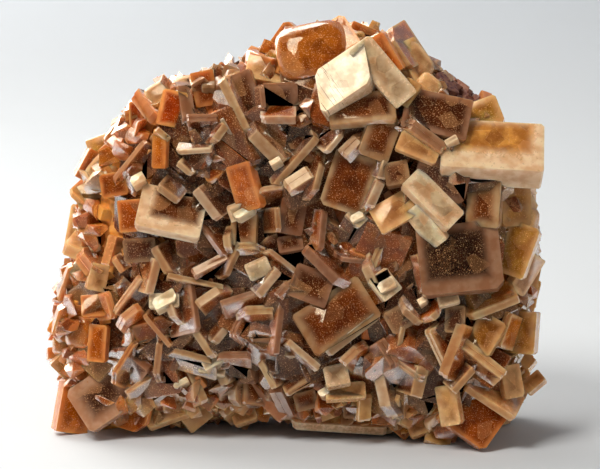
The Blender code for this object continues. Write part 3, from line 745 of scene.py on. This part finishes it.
def lump_mesh(size, placing, growing, chance, subdivisions=2):
    """A rounded block of this size (mm), set in its place, in metres."""
    bm = bmesh.new()
    bmesh.ops.create_icosphere(bm, subdivisions=subdivisions, radius=1.0)
    for vertex in bm.verts:
        fourth = sum(c ** 4 for c in vertex.co) ** 0.25
        vertex.co = Vector([c / fourth * side / 2 for c, side in zip(vertex.co, size)])
    mark_corners(bm, size, growing, chance, rounded=1.0)
    return finish_crystal(bm, placing, "lump")


# Worn crystals of the top and the left outline: as the tablets that are placed face out
LUMPS = [
    (3.6, 80.0, 14.5, 11.0, 7.0, 12, 72, 1.4, "glow"),
    (23.6, 77.2, 8.5, 7.0, 5.0, -52, 70, 1.0, "frosted"),
    (26.6, 72.6, 5.0, 4.0, 3.4, -40, 70, 1.2, "frosted"),
    (-26.6, 71.6, 6.4, 4.6, 4.0, 30, 70, 0.6, "frosted"),
    (-20.6, 73.0, 6.0, 4.6, 4.0, 10, 70, 0.6, "frosted"),
    (-40.6, 49.0, 6.6, 5.4, 4.4, 70, 66, 0.6, "glow"),
    (-38.6, 56.4, 7.0, 5.4, 4.4, 50, 66, 0.6, "frosted"),
    (-35.0, 63.0, 6.6, 5.4, 4.4, 50, 66, 0.4, "glow"),
    (-43.4, 24.0, 6.6, 5.6, 4.4, 80, 66, 0.6, "glow"),
    (-45.0, 32.6, 5.6, 4.6, 4.0, 60, 66, 0.4, "frosted"),
    (-44.0, 14.6, 6.0, 5.0, 4.0, 70, 66, 0.6, "frosted"),
    (44.6, 45.6, 6.6, 5.0, 4.0, 80, 66, 0.4, "frosted"),
]


def placed_lumps(chance):
    made = []
    for across, up, length, width, thickness, lean, opening, rise, name in LUMPS:
        length_way, width_way, face_way = tablet_frame(lean, opening)
        surface = seen_point(across, up, front_depth(across, up) - rise)
        placing = axes_matrix(surface - face_way * thickness / 2, length_way, width_way, face_way)
        made.append(lump_mesh((length, width, thickness), placing, LOOKS[name], chance, 3))
    return made


def flank_look(root, chance):
    """A small crystal's look: thin pale rim, clearer than the large ones."""
    growing = dict(look_at(*seen_place(root), chance))
    growing["rim_width"] = 1.1
    growing["clear"] = 0.6
    growing["rough"] = 0.22
    return growing


def rim_lump(root, outward, chance):
    """A small stout crystal of the flanks and the top, worn round."""
    size = (chance.uniform(2.8, 4.6), chance.uniform(2.4, 4.0), chance.uniform(2.0, 3.2))
    tip = (outward + random_side(outward, chance) * chance.uniform(0.0, 0.9)).normalized()
    face = random_side(tip, chance)
    centre = root + outward * chance.uniform(0.8, 1.8)
    placing = axes_matrix(centre, face.cross(tip), tip, face)
    return lump_mesh(size, placing, flank_look(root, chance), chance)


def shard_mesh(size, placing, growing, chance):
    """An irregular crystal with flat faces, of about this size (mm)."""
    bm = bmesh.new()
    for _ in range(12):
        way = Vector([chance.gauss(0, 1) for _ in range(3)]).normalized()
        fourth = sum(c ** 4 for c in way) ** 0.25
        bm.verts.new([c / fourth * side / 2 for c, side in zip(way, size)])
    hull = bmesh.ops.convex_hull(bm, input=bm.verts)
    bmesh.ops.delete(bm, geom=hull["geom_interior"], context="VERTS")
    bmesh.ops.recalc_face_normals(bm, faces=bm.faces)
    mark_corners(bm, size, growing, chance)
    return finish_crystal(bm, placing, "shard")


def rim_shard(root, outward, chance):
    """A small sharp crystal of the flanks and the top, turned any way."""
    size = (chance.uniform(4.0, 6.6), chance.uniform(3.4, 5.4), chance.uniform(2.6, 4.4))
    tip = (random_side(outward, chance) + outward * chance.gauss(0, 1)).normalized()
    face = random_side(tip, chance)
    centre = root + outward * chance.uniform(0.6, 2.6)
    placing = axes_matrix(centre, face.cross(tip), tip, face)
    return shard_mesh(size, placing, flank_look(root, chance), chance)


def front_shard(root, outward, chance):
    """A small irregular crystal in a gap of the front."""
    across, up = seen_place(root)
    size = (chance.uniform(3.0, 6.0), chance.uniform(2.4, 5.0), chance.uniform(2.0, 3.6))
    tip = random_side(outward, chance)
    face = (outward + random_side(outward, chance) * 0.5).normalized()
    tip = (tip - face * tip.dot(face)).normalized()
    surface = seen_point(across, up, front_depth(across, up) + chance.uniform(1.6, 3.4))
    placing = axes_matrix(surface, face.cross(tip), tip, face)
    return shard_mesh(size, placing, look_at(across, up, chance), chance)


def is_bare_druse(root, outward):
    """Whether a place lies on the upper right, where the druse shows."""
    across, up = seen_place(root)
    return across > 27.0 and up > 60.0 and outward.y > -0.8


def is_rim(root, outward):
    return not is_front(root, outward) and not is_bare_druse(root, outward)


def is_near_rim(root, outward):
    """The part of the flanks and the top that turns to the front."""
    return is_rim(root, outward) and outward.y < 0.3


GLINTS = [   # across, up, length, width (mm) of the faces that flash
    (-25.4, 30.6, 5.0, 2.6), (-15.8, 18.4, 4.6, 2.0), (12.2, 46.8, 2.8, 1.6),
    (18.0, 33.6, 3.6, 2.2), (-30.6, 54.2, 3.0, 2.2), (-9.8, 47.8, 4.0, 1.6),
    (-22.4, 14.0, 3.2, 1.2), (-39.6, 41.2, 2.2, 1.4), (6.0, 12.4, 2.4, 1.6),
    (30.4, 61.6, 2.6, 1.2), (-3.6, 57.6, 2.4, 1.2), (25.0, 30.6, 2.0, 1.4),
]
GLINT_LEAN = 29.5              # degrees, these two turn a face so that it throws
GLINT_OPENING = 65.5           # the light from the upper left to the front


def glint_tablets(chance):
    """Small clean faces that all catch the light; their pale cream colour is a painted highlight."""
    length_way, width_way, face_way = tablet_frame(GLINT_LEAN, GLINT_OPENING)
    made = []
    for across, up, length, width in GLINTS:
        centre = seen_point(across, up, front_depth(across, up) - 1.6) - face_way * 1.5
        placing = axes_matrix(centre, length_way, width_way, face_way)
        made.append(tablet_mesh((length, width, 3.0), placing, LOOKS["glint"], chance))
    return made


small_chance = random.Random(31)
skin = coarse_mass.data
small = crop(skin, 4000, 5.6, is_front, backing_tablet, small_chance)
print("backing tablets:", len(small))
sticks = crop(skin, 4000, 5.4, is_open_front, front_stick, small_chance)
print("small sticks:", len(sticks))
small += sticks
shards = crop(skin, 6000, 2.7, is_open_front, front_shard, small_chance)
print("small shards:", len(shards))
small += shards
flank = crop(skin, 3000, 6.0, is_rim, rim_tablet, small_chance)
flank += crop(skin, 3000, 6.5, is_rim, rim_lump, small_chance)
flank += crop(skin, 3000, 4.6, is_rim, rim_shard, small_chance)
flank += crop(skin, 9000, 2.5, is_near_rim, rim_shard, small_chance)
flank += placed_lumps(small_chance)
small += glint_tablets(small_chance)
print("small crystals of the front:", len(small), "of the flanks:", len(flank))

# %% [markdown]
# ## Growing through each other
# Real crystals share the space where they cross.  If the tablets only overlapped, light
# that passes through one would meet the hidden faces of the next.  A Boolean union
# takes those inner faces away and leaves one clean skin.  The solver called MANIFOLD
# joins hundreds of closed meshes in seconds.

# %% Join a group of closed meshes and cut it level
def ground_block():
    bm = bmesh.new()
    bmesh.ops.create_cube(bm, size=1.0)
    bmesh.ops.scale(bm, vec=(0.2, 0.2, 0.04), verts=bm.verts)
    bmesh.ops.translate(bm, vec=(0.0, 0.0, -0.02), verts=bm.verts)
    mesh = bpy.data.meshes.new("ground_block")
    bm.to_mesh(mesh)
    bm.free()
    return bpy.data.objects.new("ground_block", mesh)


def grow_together(first, others, name):
    """One closed mesh from all of these, cut off at the level it stands on."""
    group = bpy.data.collections.new(name + "_to_join")
    bpy.context.scene.collection.children.link(group)
    for other in others:
        group.objects.link(other)
    union = first.modifiers.new("union", "BOOLEAN")
    union.operation = "UNION"
    union.operand_type = "COLLECTION"
    union.collection = group
    union.solver = "MANIFOLD"
    level = first.modifiers.new("level", "BOOLEAN")
    level.operation = "DIFFERENCE"
    level.object = ground_block()
    level.solver = "MANIFOLD"
    view = bpy.context.evaluated_depsgraph_get()
    joined = bpy.data.meshes.new_from_object(first.evaluated_get(view))
    for thing in list(others) + [first, level.object]:
        bpy.data.objects.remove(thing)
    bpy.data.collections.remove(group)
    grown = bpy.data.objects.new(name, joined)
    bpy.context.scene.collection.objects.link(grown)
    return grown


MOST_TRIANGLES = 190000    # in one piece


def thin_out(piece):
    """Takes out the shortest edges that the union left, down to the limit."""
    piece.data.calc_loop_triangles()
    before = len(piece.data.loop_triangles)
    if before > MOST_TRIANGLES:
        fewer = piece.modifiers.new("fewer", "DECIMATE")
        fewer.ratio = MOST_TRIANGLES / before
        view = bpy.context.evaluated_depsgraph_get()
        thinner = bpy.data.meshes.new_from_object(piece.evaluated_get(view))
        piece.modifiers.clear()
        piece.data = thinner
    piece.data.validate()
    piece.data.calc_loop_triangles()
    print(piece.name, "triangles:", before, "then", len(piece.data.loop_triangles))
    return piece


tablets = placed + filled + small
for first in (tablets[0], flank[0]):
    bpy.context.scene.collection.objects.link(first)
honey_tablets = thin_out(grow_together(tablets[0], tablets[1:], "honey_tablets"))
flank_crystals = thin_out(grow_together(flank[0], flank[1:], "flank_crystals"))

# %% [markdown]
# ## The druse
# Under the tablets lies the druse: purple-brown fluorite, bumpy where it is fine and
# cubic where it had room.  It shows at the upper right, in the dark gaps and over
# the back.  A sphere moved onto the shape of the mass gives its body, noise gives the
# bumps, and cubes of many sizes are joined into it.

# %% The body of the druse
def druse_body():
    body = mass_object(6, "druse_body")
    for vertex in body.data.vertices:
        point = vertex.co / MM
        outward = (point - Vector((0.0, 0.0, 40.0))).normalized()
        bumps = turbulence(point * 0.45, 3, False)
        vertex.co = (point - ORIGIN + outward * (bumps - 0.9) * 1.4) * MM
    return body


# %% Cubes of the druse
DRUSE_SEED = 5
DRUSE_COUNT = 20
DRUSE_SIZE = (3.6, 6.0)        # mm, the side of a cube


def cube_mesh(size, placing):
    bm = bmesh.new()
    bmesh.ops.create_cube(bm, size=size)
    bmesh.ops.bevel(bm, geom=bm.edges[:], offset=0.05 * size, segments=1, affect="EDGES")
    return finish_crystal(bm, placing, "druse_cube")


def druse_cubes(chance):
    """The cubes that the solid model has too."""
    made = []
    while len(made) < DRUSE_COUNT:
        way = Vector([chance.gauss(0, 1) for _ in range(3)]).normalized()
        if way.y < 0.15 or way.x + 1.2 * way.z < 0.25:
            continue
        size = chance.uniform(*DRUSE_SIZE)
        side = random_side(way, chance)
        made.append(cube_mesh(size, axes_matrix(mass_point(way), way.cross(side), way, side)))
    return made


def small_cubes(skin, chance):
    """Smaller cubes all over the mass."""
    made = []
    for root, outward in skin_places(skin, 520, chance):
        if root.z < 2.0:
            continue
        size = chance.uniform(1.2, 3.0)
        tip = (outward + random_side(outward, chance) * 0.4).normalized()
        side = random_side(tip, chance)
        made.append(cube_mesh(size, axes_matrix(root, tip.cross(side), tip, side)))
    return made


def bare_druse(skin, chance):
    """A thick crust of fine cubes where no tablets cover the druse."""
    made = []
    for root, outward in skin_places(skin, 7000, chance):
        if not is_bare_druse(root, outward):
            continue
        size = chance.uniform(1.4, 3.0)
        side = random_side(outward, chance)
        centre = root + outward * chance.uniform(0.0, 3.0)
        made.append(cube_mesh(size, axes_matrix(centre, outward.cross(side), outward, side)))
    return made


druse_chance = random.Random(DRUSE_SEED)
cubes = druse_cubes(druse_chance) + small_cubes(coarse_mass.data, druse_chance)
cubes += bare_druse(coarse_mass.data, druse_chance)
purple_druse = grow_together(druse_body(), cubes, "purple_druse")
purple_druse.data.calc_loop_triangles()
bpy.data.objects.remove(coarse_mass)
print("cubes:", len(cubes), "triangles:", len(purple_druse.data.loop_triangles))

# %% [markdown]
# ## The finish of a tablet
# A tablet is clear honey inside and milky towards its outline.  The finish measures how
# far each point lies inside the outline of its own tablet, in millimetres, and turns the
# clear heart into the cream rim over the rim's width.  Fine lines run along the narrow
# sides where the growth layers end.  Pale specks lie on the faces: partly dust, and
# partly a painted highlight, the sparkle of tiny facets.

# %% Helpers for building a finish
def new_finish(name):
    material = bpy.data.materials.new(name)
    material.use_nodes = True
    tree = material.node_tree
    shader = tree.nodes["Principled BSDF"]
    return material, tree, shader


def join_to(tree, source, socket):
    """Links a socket, or sets a plain value."""
    if isinstance(source, bpy.types.NodeSocket):
        tree.links.new(source, socket)
    else:
        socket.default_value = source


def calc(tree, operation, first, second=0.0, third=0.0):
    node = tree.nodes.new("ShaderNodeMath")
    node.operation = operation
    for value, socket in zip((first, second, third), node.inputs):
        join_to(tree, value, socket)
    return node.outputs[0]


def fade(tree, value, low, high, to_low=0.0, to_high=1.0):
    """A smooth change from to_low to to_high as value goes from low to high."""
    node = tree.nodes.new("ShaderNodeMapRange")
    node.interpolation_type = "SMOOTHSTEP"
    for given, name in zip((value, low, high, to_low, to_high),
                           ("Value", "From Min", "From Max", "To Min", "To Max")):
        join_to(tree, given, node.inputs[name])
    return node.outputs["Result"]


def blend_colours(tree, share, first, second, way="MIX"):
    node = tree.nodes.new("ShaderNodeMix")
    node.data_type = "RGBA"
    node.blend_type = way
    join_to(tree, share, node.inputs[0])
    for colour, socket in ((first, node.inputs[6]), (second, node.inputs[7])):
        if isinstance(colour, tuple):
            colour = (*colour, 1.0)
        join_to(tree, colour, socket)
    return node.outputs[2]


def carried(tree, name):
    node = tree.nodes.new("ShaderNodeAttribute")
    node.attribute_name = name
    return node


def parts_of(tree, vector):
    node = tree.nodes.new("ShaderNodeSeparateXYZ")
    join_to(tree, vector, node.inputs[0])
    return node.outputs


def grain(tree, vector, scale, detail=3.0, roughness=0.55):
    node = tree.nodes.new("ShaderNodeTexNoise")
    join_to(tree, vector, node.inputs["Vector"])
    node.inputs["Scale"].default_value = scale
    node.inputs["Detail"].default_value = detail
    node.inputs["Roughness"].default_value = roughness
    return node.outputs["Fac"]


def stretched(tree, vector, scale):
    node = tree.nodes.new("ShaderNodeVectorMath")
    node.operation = "MULTIPLY"
    join_to(tree, vector, node.inputs[0])
    node.inputs[1].default_value = scale
    return node.outputs[0]


def cells(tree, vector, scale, feature="F1"):
    """Straight-sided cells in space, by their distance and colour."""
    node = tree.nodes.new("ShaderNodeTexVoronoi")
    node.feature = feature
    join_to(tree, vector, node.inputs["Vector"])
    node.inputs["Scale"].default_value = scale
    return node.outputs


# %% The finish itself
def tablet_finish():
    material, tree, shader = new_finish("honey_and_milk_crystal")
    place_vector = carried(tree, PLACE_ON_TABLET).outputs["Vector"]
    place = parts_of(tree, place_vector)
    half = parts_of(tree, carried(tree, HALF_SIZE).outputs["Vector"])
    growth = parts_of(tree, carried(tree, GROWTH).outputs["Vector"])
    body_place = tree.nodes.new("ShaderNodeTexCoord").outputs["Object"]

    inside_x = calc(tree, "SUBTRACT", half[0], calc(tree, "ABSOLUTE", place[0]))
    inside_y = calc(tree, "SUBTRACT", half[1], calc(tree, "ABSOLUTE", place[1]))
    inside = calc(tree, "MINIMUM", inside_x, inside_y)
    cloud = grain(tree, body_place, 300.0)
    wavy = calc(tree, "MULTIPLY_ADD", cloud, 0.6, calc(tree, "SUBTRACT", inside, 0.3))
    rim = fade(tree, wavy, calc(tree, "MULTIPLY", growth[0], 0.2), growth[0], 1.0, 0.0)
    rim = calc(tree, "MULTIPLY", rim, growth[1])

    fine = grain(tree, body_place, 1500.0, 4.0)
    heart_tint = carried(tree, HEART_TINT)
    rim_tint = carried(tree, RIM_TINT)
    in_heart = fade(tree, rim, 0.15, 0.6, 1.0, 0.0)
    blocks = parts_of(tree, cells(tree, body_place, 330.0)["Color"])
    heart = blend_colours(tree, fade(tree, cloud, 0.35, 0.65), paint(196, 172, 152), paint(255, 250, 240))
    heart = blend_colours(tree, 1.0, heart_tint.outputs["Color"], heart, "MULTIPLY")
    heart = blend_colours(tree, fade(tree, blocks[0], 0.2, 1.0, 0.0, 0.5), heart,
                          blend_colours(tree, 1.0, heart, paint(176, 150, 130), "MULTIPLY"))
    heart = blend_colours(tree, fade(tree, blocks[1], 0.75, 0.95, 0.0, 0.35), heart, paint(250, 180, 120))
    lines = grain(tree, stretched(tree, place_vector, (0.03, 0.03, 5.0)), 1.0, 2.0)
    soft = grain(tree, body_place, 420.0, 2.0)
    milk_tint = blend_colours(tree, fade(tree, soft, 0.35, 0.65), paint(232, 214, 198), paint(255, 255, 255))
    milk = blend_colours(tree, 1.0, rim_tint.outputs["Color"], milk_tint, "MULTIPLY")
    on_side = calc(tree, "DIVIDE", calc(tree, "ABSOLUTE", place[2]), half[2])
    core = fade(tree, on_side, 0.1, 0.9, 0.45, 0.0)
    milk = blend_colours(tree, core, milk, blend_colours(tree, 1.0, milk, paint(205, 172, 140), "MULTIPLY"))
    colour = blend_colours(tree, rim, heart, milk)
    scratches = grain(tree, stretched(tree, place_vector, (5.0, 0.2, 0.2)), 1.0, 2.0)
    scratches = calc(tree, "MULTIPLY", fade(tree, scratches, 0.6, 0.68), rim_tint.outputs["Alpha"])
    scratches = calc(tree, "MULTIPLY", scratches, fade(tree, rim_tint.outputs["Alpha"], 0.6, 0.9))
    scratches = calc(tree, "MULTIPLY", scratches, fade(tree, place[0], -2.0, 0.5, 1.0, 0.0))
    colour = blend_colours(tree, scratches, colour, paint(96, 66, 52))

    cracks = cells(tree, body_place, 330.0, "DISTANCE_TO_EDGE")["Distance"]
    crack = calc(tree, "MULTIPLY", fade(tree, cracks, 0.0, 0.03, 0.45, 0.0), in_heart)
    crack = calc(tree, "MULTIPLY", crack, fade(tree, fine, 0.5, 0.62))
    colour = blend_colours(tree, crack, colour, paint(250, 204, 156))
    # Pale specks: partly dust and partly a painted highlight, the sparkle of tiny facets painted on the hearts
    dust_and_sparkle_noise = grain(tree, body_place, 4200.0, 2.0, 0.6)
    dust_and_sparkle = calc(tree, "MULTIPLY", fade(tree, dust_and_sparkle_noise, 0.55, 0.7), in_heart)
    dust_and_sparkle = calc(tree, "MULTIPLY", dust_and_sparkle, fade(tree, growth[2], 0.3, 0.5, 0.3, 0.8))
    dust_and_sparkle = calc(tree, "MULTIPLY", dust_and_sparkle, fade(tree, cloud, 0.35, 0.6, 0.5, 1.0))
    colour = blend_colours(tree, dust_and_sparkle, colour, paint(232, 180, 130))
    join_to(tree, colour, shader.inputs["Base Color"])

    clear = calc(tree, "MULTIPLY", growth[2], fade(tree, rim, 0.0, 1.0, 1.0, 0.45))
    clear = calc(tree, "MULTIPLY", clear, calc(tree, "SUBTRACT", 1.0, dust_and_sparkle))
    join_to(tree, clear, shader.inputs["Transmission Weight"])
    rough = calc(tree, "ADD", heart_tint.outputs["Alpha"], calc(tree, "MULTIPLY", rim, 0.16))
    rough = calc(tree, "MULTIPLY", rough, fade(tree, fine, 0.2, 0.8, 0.8, 1.3))
    join_to(tree, rough, shader.inputs["Roughness"])
    shader.inputs["IOR"].default_value = 1.43
    shader.inputs["Specular IOR Level"].default_value = 0.35
    shader.inputs["Specular Tint"].default_value = (1.0, 0.88, 0.7, 1.0)
    shader.inputs["Subsurface Weight"].default_value = 0.7
    shader.inputs["Subsurface Radius"].default_value = (1.0, 0.72, 0.5)
    shader.inputs["Subsurface Scale"].default_value = 0.0018

    facets = cells(tree, body_place, 560.0)["Distance"]
    height = calc(tree, "MULTIPLY", lines, fade(tree, rim, 0.0, 0.8, 0.1, 1.0))
    smooth_face = fade(tree, heart_tint.outputs["Alpha"], 0.04, 0.05, 0.0, 1.2)
    smooth_face = calc(tree, "MULTIPLY", smooth_face, fade(tree, rim_tint.outputs["Alpha"], 0.6, 0.9, 1.0, 0.0))
    height = calc(tree, "ADD", height, calc(tree, "MULTIPLY", facets, calc(tree, "MULTIPLY", in_heart, smooth_face)))
    bump = tree.nodes.new("ShaderNodeBump")
    bump.inputs["Strength"].default_value = 0.25
    bump.inputs["Distance"].default_value = 0.0001
    join_to(tree, height, bump.inputs["Height"])
    join_to(tree, bump.outputs[0], shader.inputs["Normal"])

    absorption = tree.nodes.new("ShaderNodeVolumeAbsorption")
    absorption.inputs["Color"].default_value = (0.98, 0.66, 0.32, 1.0)
    absorption.inputs["Density"].default_value = 330.0
    output = tree.nodes["Material Output"]
    tree.links.new(absorption.outputs[0], output.inputs["Volume"])
    return material


honey_and_milk = tablet_finish()
for piece in (honey_tablets, flank_crystals):
    round_shares = [value.value for value in piece.data.attributes[ROUNDED].data]
    piece.data.polygons.foreach_set("use_smooth", [share > 0.5 for share in round_shares])
    piece.data.set_sharp_from_angle(angle=math.radians(38))
    piece.data.materials.clear()
    piece.data.materials.append(honey_and_milk)
    print("tablet finish on", piece.name)

# %% [markdown]
# ## The finish of the druse
# The druse changes from purple-grey at the upper right to brown.  Where it lies under
# the thin tablets of the left flank, and low on the right flank, a bright orange is
# painted on it: a painted glow of the light that shines through those tablets.  Two
# noises break the colour up.

# %% The druse's finish
def druse_finish():
    material, tree, shader = new_finish("purple_brown_druse")
    body_place = tree.nodes.new("ShaderNodeTexCoord").outputs["Object"]
    across = parts_of(tree, body_place)
    cloud = grain(tree, body_place, 160.0)
    fine = grain(tree, body_place, 1200.0, 4.0)
    dark = blend_colours(tree, fade(tree, cloud, 0.4, 0.6), paint(176, 96, 46), paint(116, 70, 50))
    # painted glow: bright orange where light shines through the thin flank tablets, left and low on the right
    glow = paint(255, 178, 84)
    left = fade(tree, across[0], -0.038, -0.008, 1.0, 0.0)
    right = fade(tree, across[0], 0.030, 0.046, 0.0, 0.8)
    right = calc(tree, "MULTIPLY", right, fade(tree, across[2], 0.050, 0.060, 1.0, 0.0))
    patch = parts_of(tree, cells(tree, body_place, 260.0)["Color"])
    dark = blend_colours(tree, fade(tree, patch[0], 0.3, 0.8), dark, paint(206, 112, 48))
    dark = blend_colours(tree, fade(tree, patch[1], 0.75, 0.8), dark, paint(232, 186, 140))
    colour = blend_colours(tree, calc(tree, "MAXIMUM", left, right), dark, glow)
    bare = calc(tree, "MULTIPLY", fade(tree, across[0], 0.020, 0.028),
                fade(tree, across[2], 0.050, 0.058))
    grape = blend_colours(tree, fade(tree, cloud, 0.42, 0.58), paint(150, 104, 92), paint(88, 54, 62))
    colour = blend_colours(tree, bare, colour, grape)
    colour = blend_colours(tree, fade(tree, fine, 0.3, 0.75, 0.0, 0.35), colour, paint(190, 140, 104))
    join_to(tree, colour, shader.inputs["Base Color"])
    join_to(tree, fade(tree, fine, 0.3, 0.7, 0.2, 0.5), shader.inputs["Roughness"])
    shader.inputs["IOR"].default_value = 1.43
    bump = tree.nodes.new("ShaderNodeBump")
    bump.inputs["Strength"].default_value = 0.5
    bump.inputs["Distance"].default_value = 0.0002
    join_to(tree, fine, bump.inputs["Height"])
    join_to(tree, bump.outputs[0], shader.inputs["Normal"])
    return material


purple_druse.data.materials.clear()
purple_druse.data.materials.append(druse_finish())
for piece in (honey_tablets, flank_crystals, purple_druse):
    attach(piece, "root")
    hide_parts("crystal_cluster")
print("druse finish on", len(purple_druse.data.polygons), "faces")

# %% [markdown]
# ## Floor, light and camera
# The specimen stands on a pale sweep of paper.  A large soft light from the upper left
# gives the broad shine, a weaker one from the right fills the shadows, and one from
# behind shines through the thin flanks.  The camera looks a little down, through a
# long lens, so that the near foot isn't drawn too large.

# %% The sweep of paper
def paper_sweep():
    bm = bmesh.new()
    profile = [(-1.6, 0.0), (0.8, 0.0)]
    profile += [(0.8 + 0.25 * math.sin(a), 0.25 - 0.25 * math.cos(a))
                for a in [math.radians(9 * k) for k in range(1, 11)]]
    profile += [(1.05, 1.4)]
    rows = [[bm.verts.new((x, y, z)) for y, z in profile] for x in (-1.6, 1.6)]
    for k in range(len(profile) - 1):
        bm.faces.new((rows[0][k], rows[1][k], rows[1][k + 1], rows[0][k + 1]))
    mesh = bpy.data.meshes.new("paper_sweep")
    bm.to_mesh(mesh)
    bm.free()
    sweep = bpy.data.objects.new("paper_sweep", mesh)
    bpy.context.scene.collection.objects.link(sweep)
    mesh.shade_smooth()
    return sweep


floor = paper_sweep()
paper, paper_tree, paper_shader = new_finish("pale_paper")
paper_shader.inputs["Base Color"].default_value = (*paint(214, 223, 238), 1.0)
paper_shader.inputs["Roughness"].default_value = 0.7
floor.data.materials.append(paper)


# %% Lights
WARM = (1.0, 0.925, 0.79)


def soft_light(name, place, aim, size, power, tint=WARM):
    lamp = bpy.data.lights.new(name, "AREA")
    lamp.size = size
    lamp.energy = power
    lamp.color = tint
    light = bpy.data.objects.new(name, lamp)
    light.location = place
    light.rotation_euler = (Vector(aim) - Vector(place)).to_track_quat("-Z", "Y").to_euler()
    bpy.context.scene.collection.objects.link(light)
    return light


MIDDLE = (0.0, 0.0, 0.04)
soft_light("upper_left", (-0.265, -0.38, 0.58), MIDDLE, 0.24, 3.9)
soft_light("right_fill", (0.6, -0.5, 0.3), MIDDLE, 0.5, 0.5)
soft_light("top_back", (-0.2, 0.15, 0.5), MIDDLE, 0.4, 1.1)
soft_light("left_back", (-0.36, 0.26, 0.22), MIDDLE, 0.25, 0.8)
soft_light("on_the_paper", (-0.55, 0.85, 0.6), (-0.35, 0.85, 0.0), 0.6, 7.0)
world = bpy.data.worlds.new("studio")
world.use_nodes = True
world.node_tree.nodes["Background"].inputs["Color"].default_value = (*WARM, 1.0)
world.node_tree.nodes["Background"].inputs["Strength"].default_value = 0.18
bpy.context.scene.world = world
bpy.context.scene.view_settings.view_transform = "Standard"
bpy.context.scene.view_settings.look = "None"

# %% Camera
DISTANCE = 0.75        # m
FRAME_ACROSS = 0.118   # m, the width that the picture shows at the specimen
AIM = Vector((0.0011, -0.012, 0.0423))
lens = bpy.data.cameras.new("camera")
lens.sensor_width = 36.0
lens.lens = lens.sensor_width * DISTANCE / FRAME_ACROSS
lens.clip_start = 0.05
camera = bpy.data.objects.new("camera", lens)
camera.location = AIM + DISTANCE * view_axes()[2]
camera.rotation_euler = (AIM - camera.location).to_track_quat("-Z", "Y").to_euler()
bpy.context.scene.collection.objects.link(camera)
bpy.context.scene.camera = camera
print("lens", round(lens.lens), "mm")
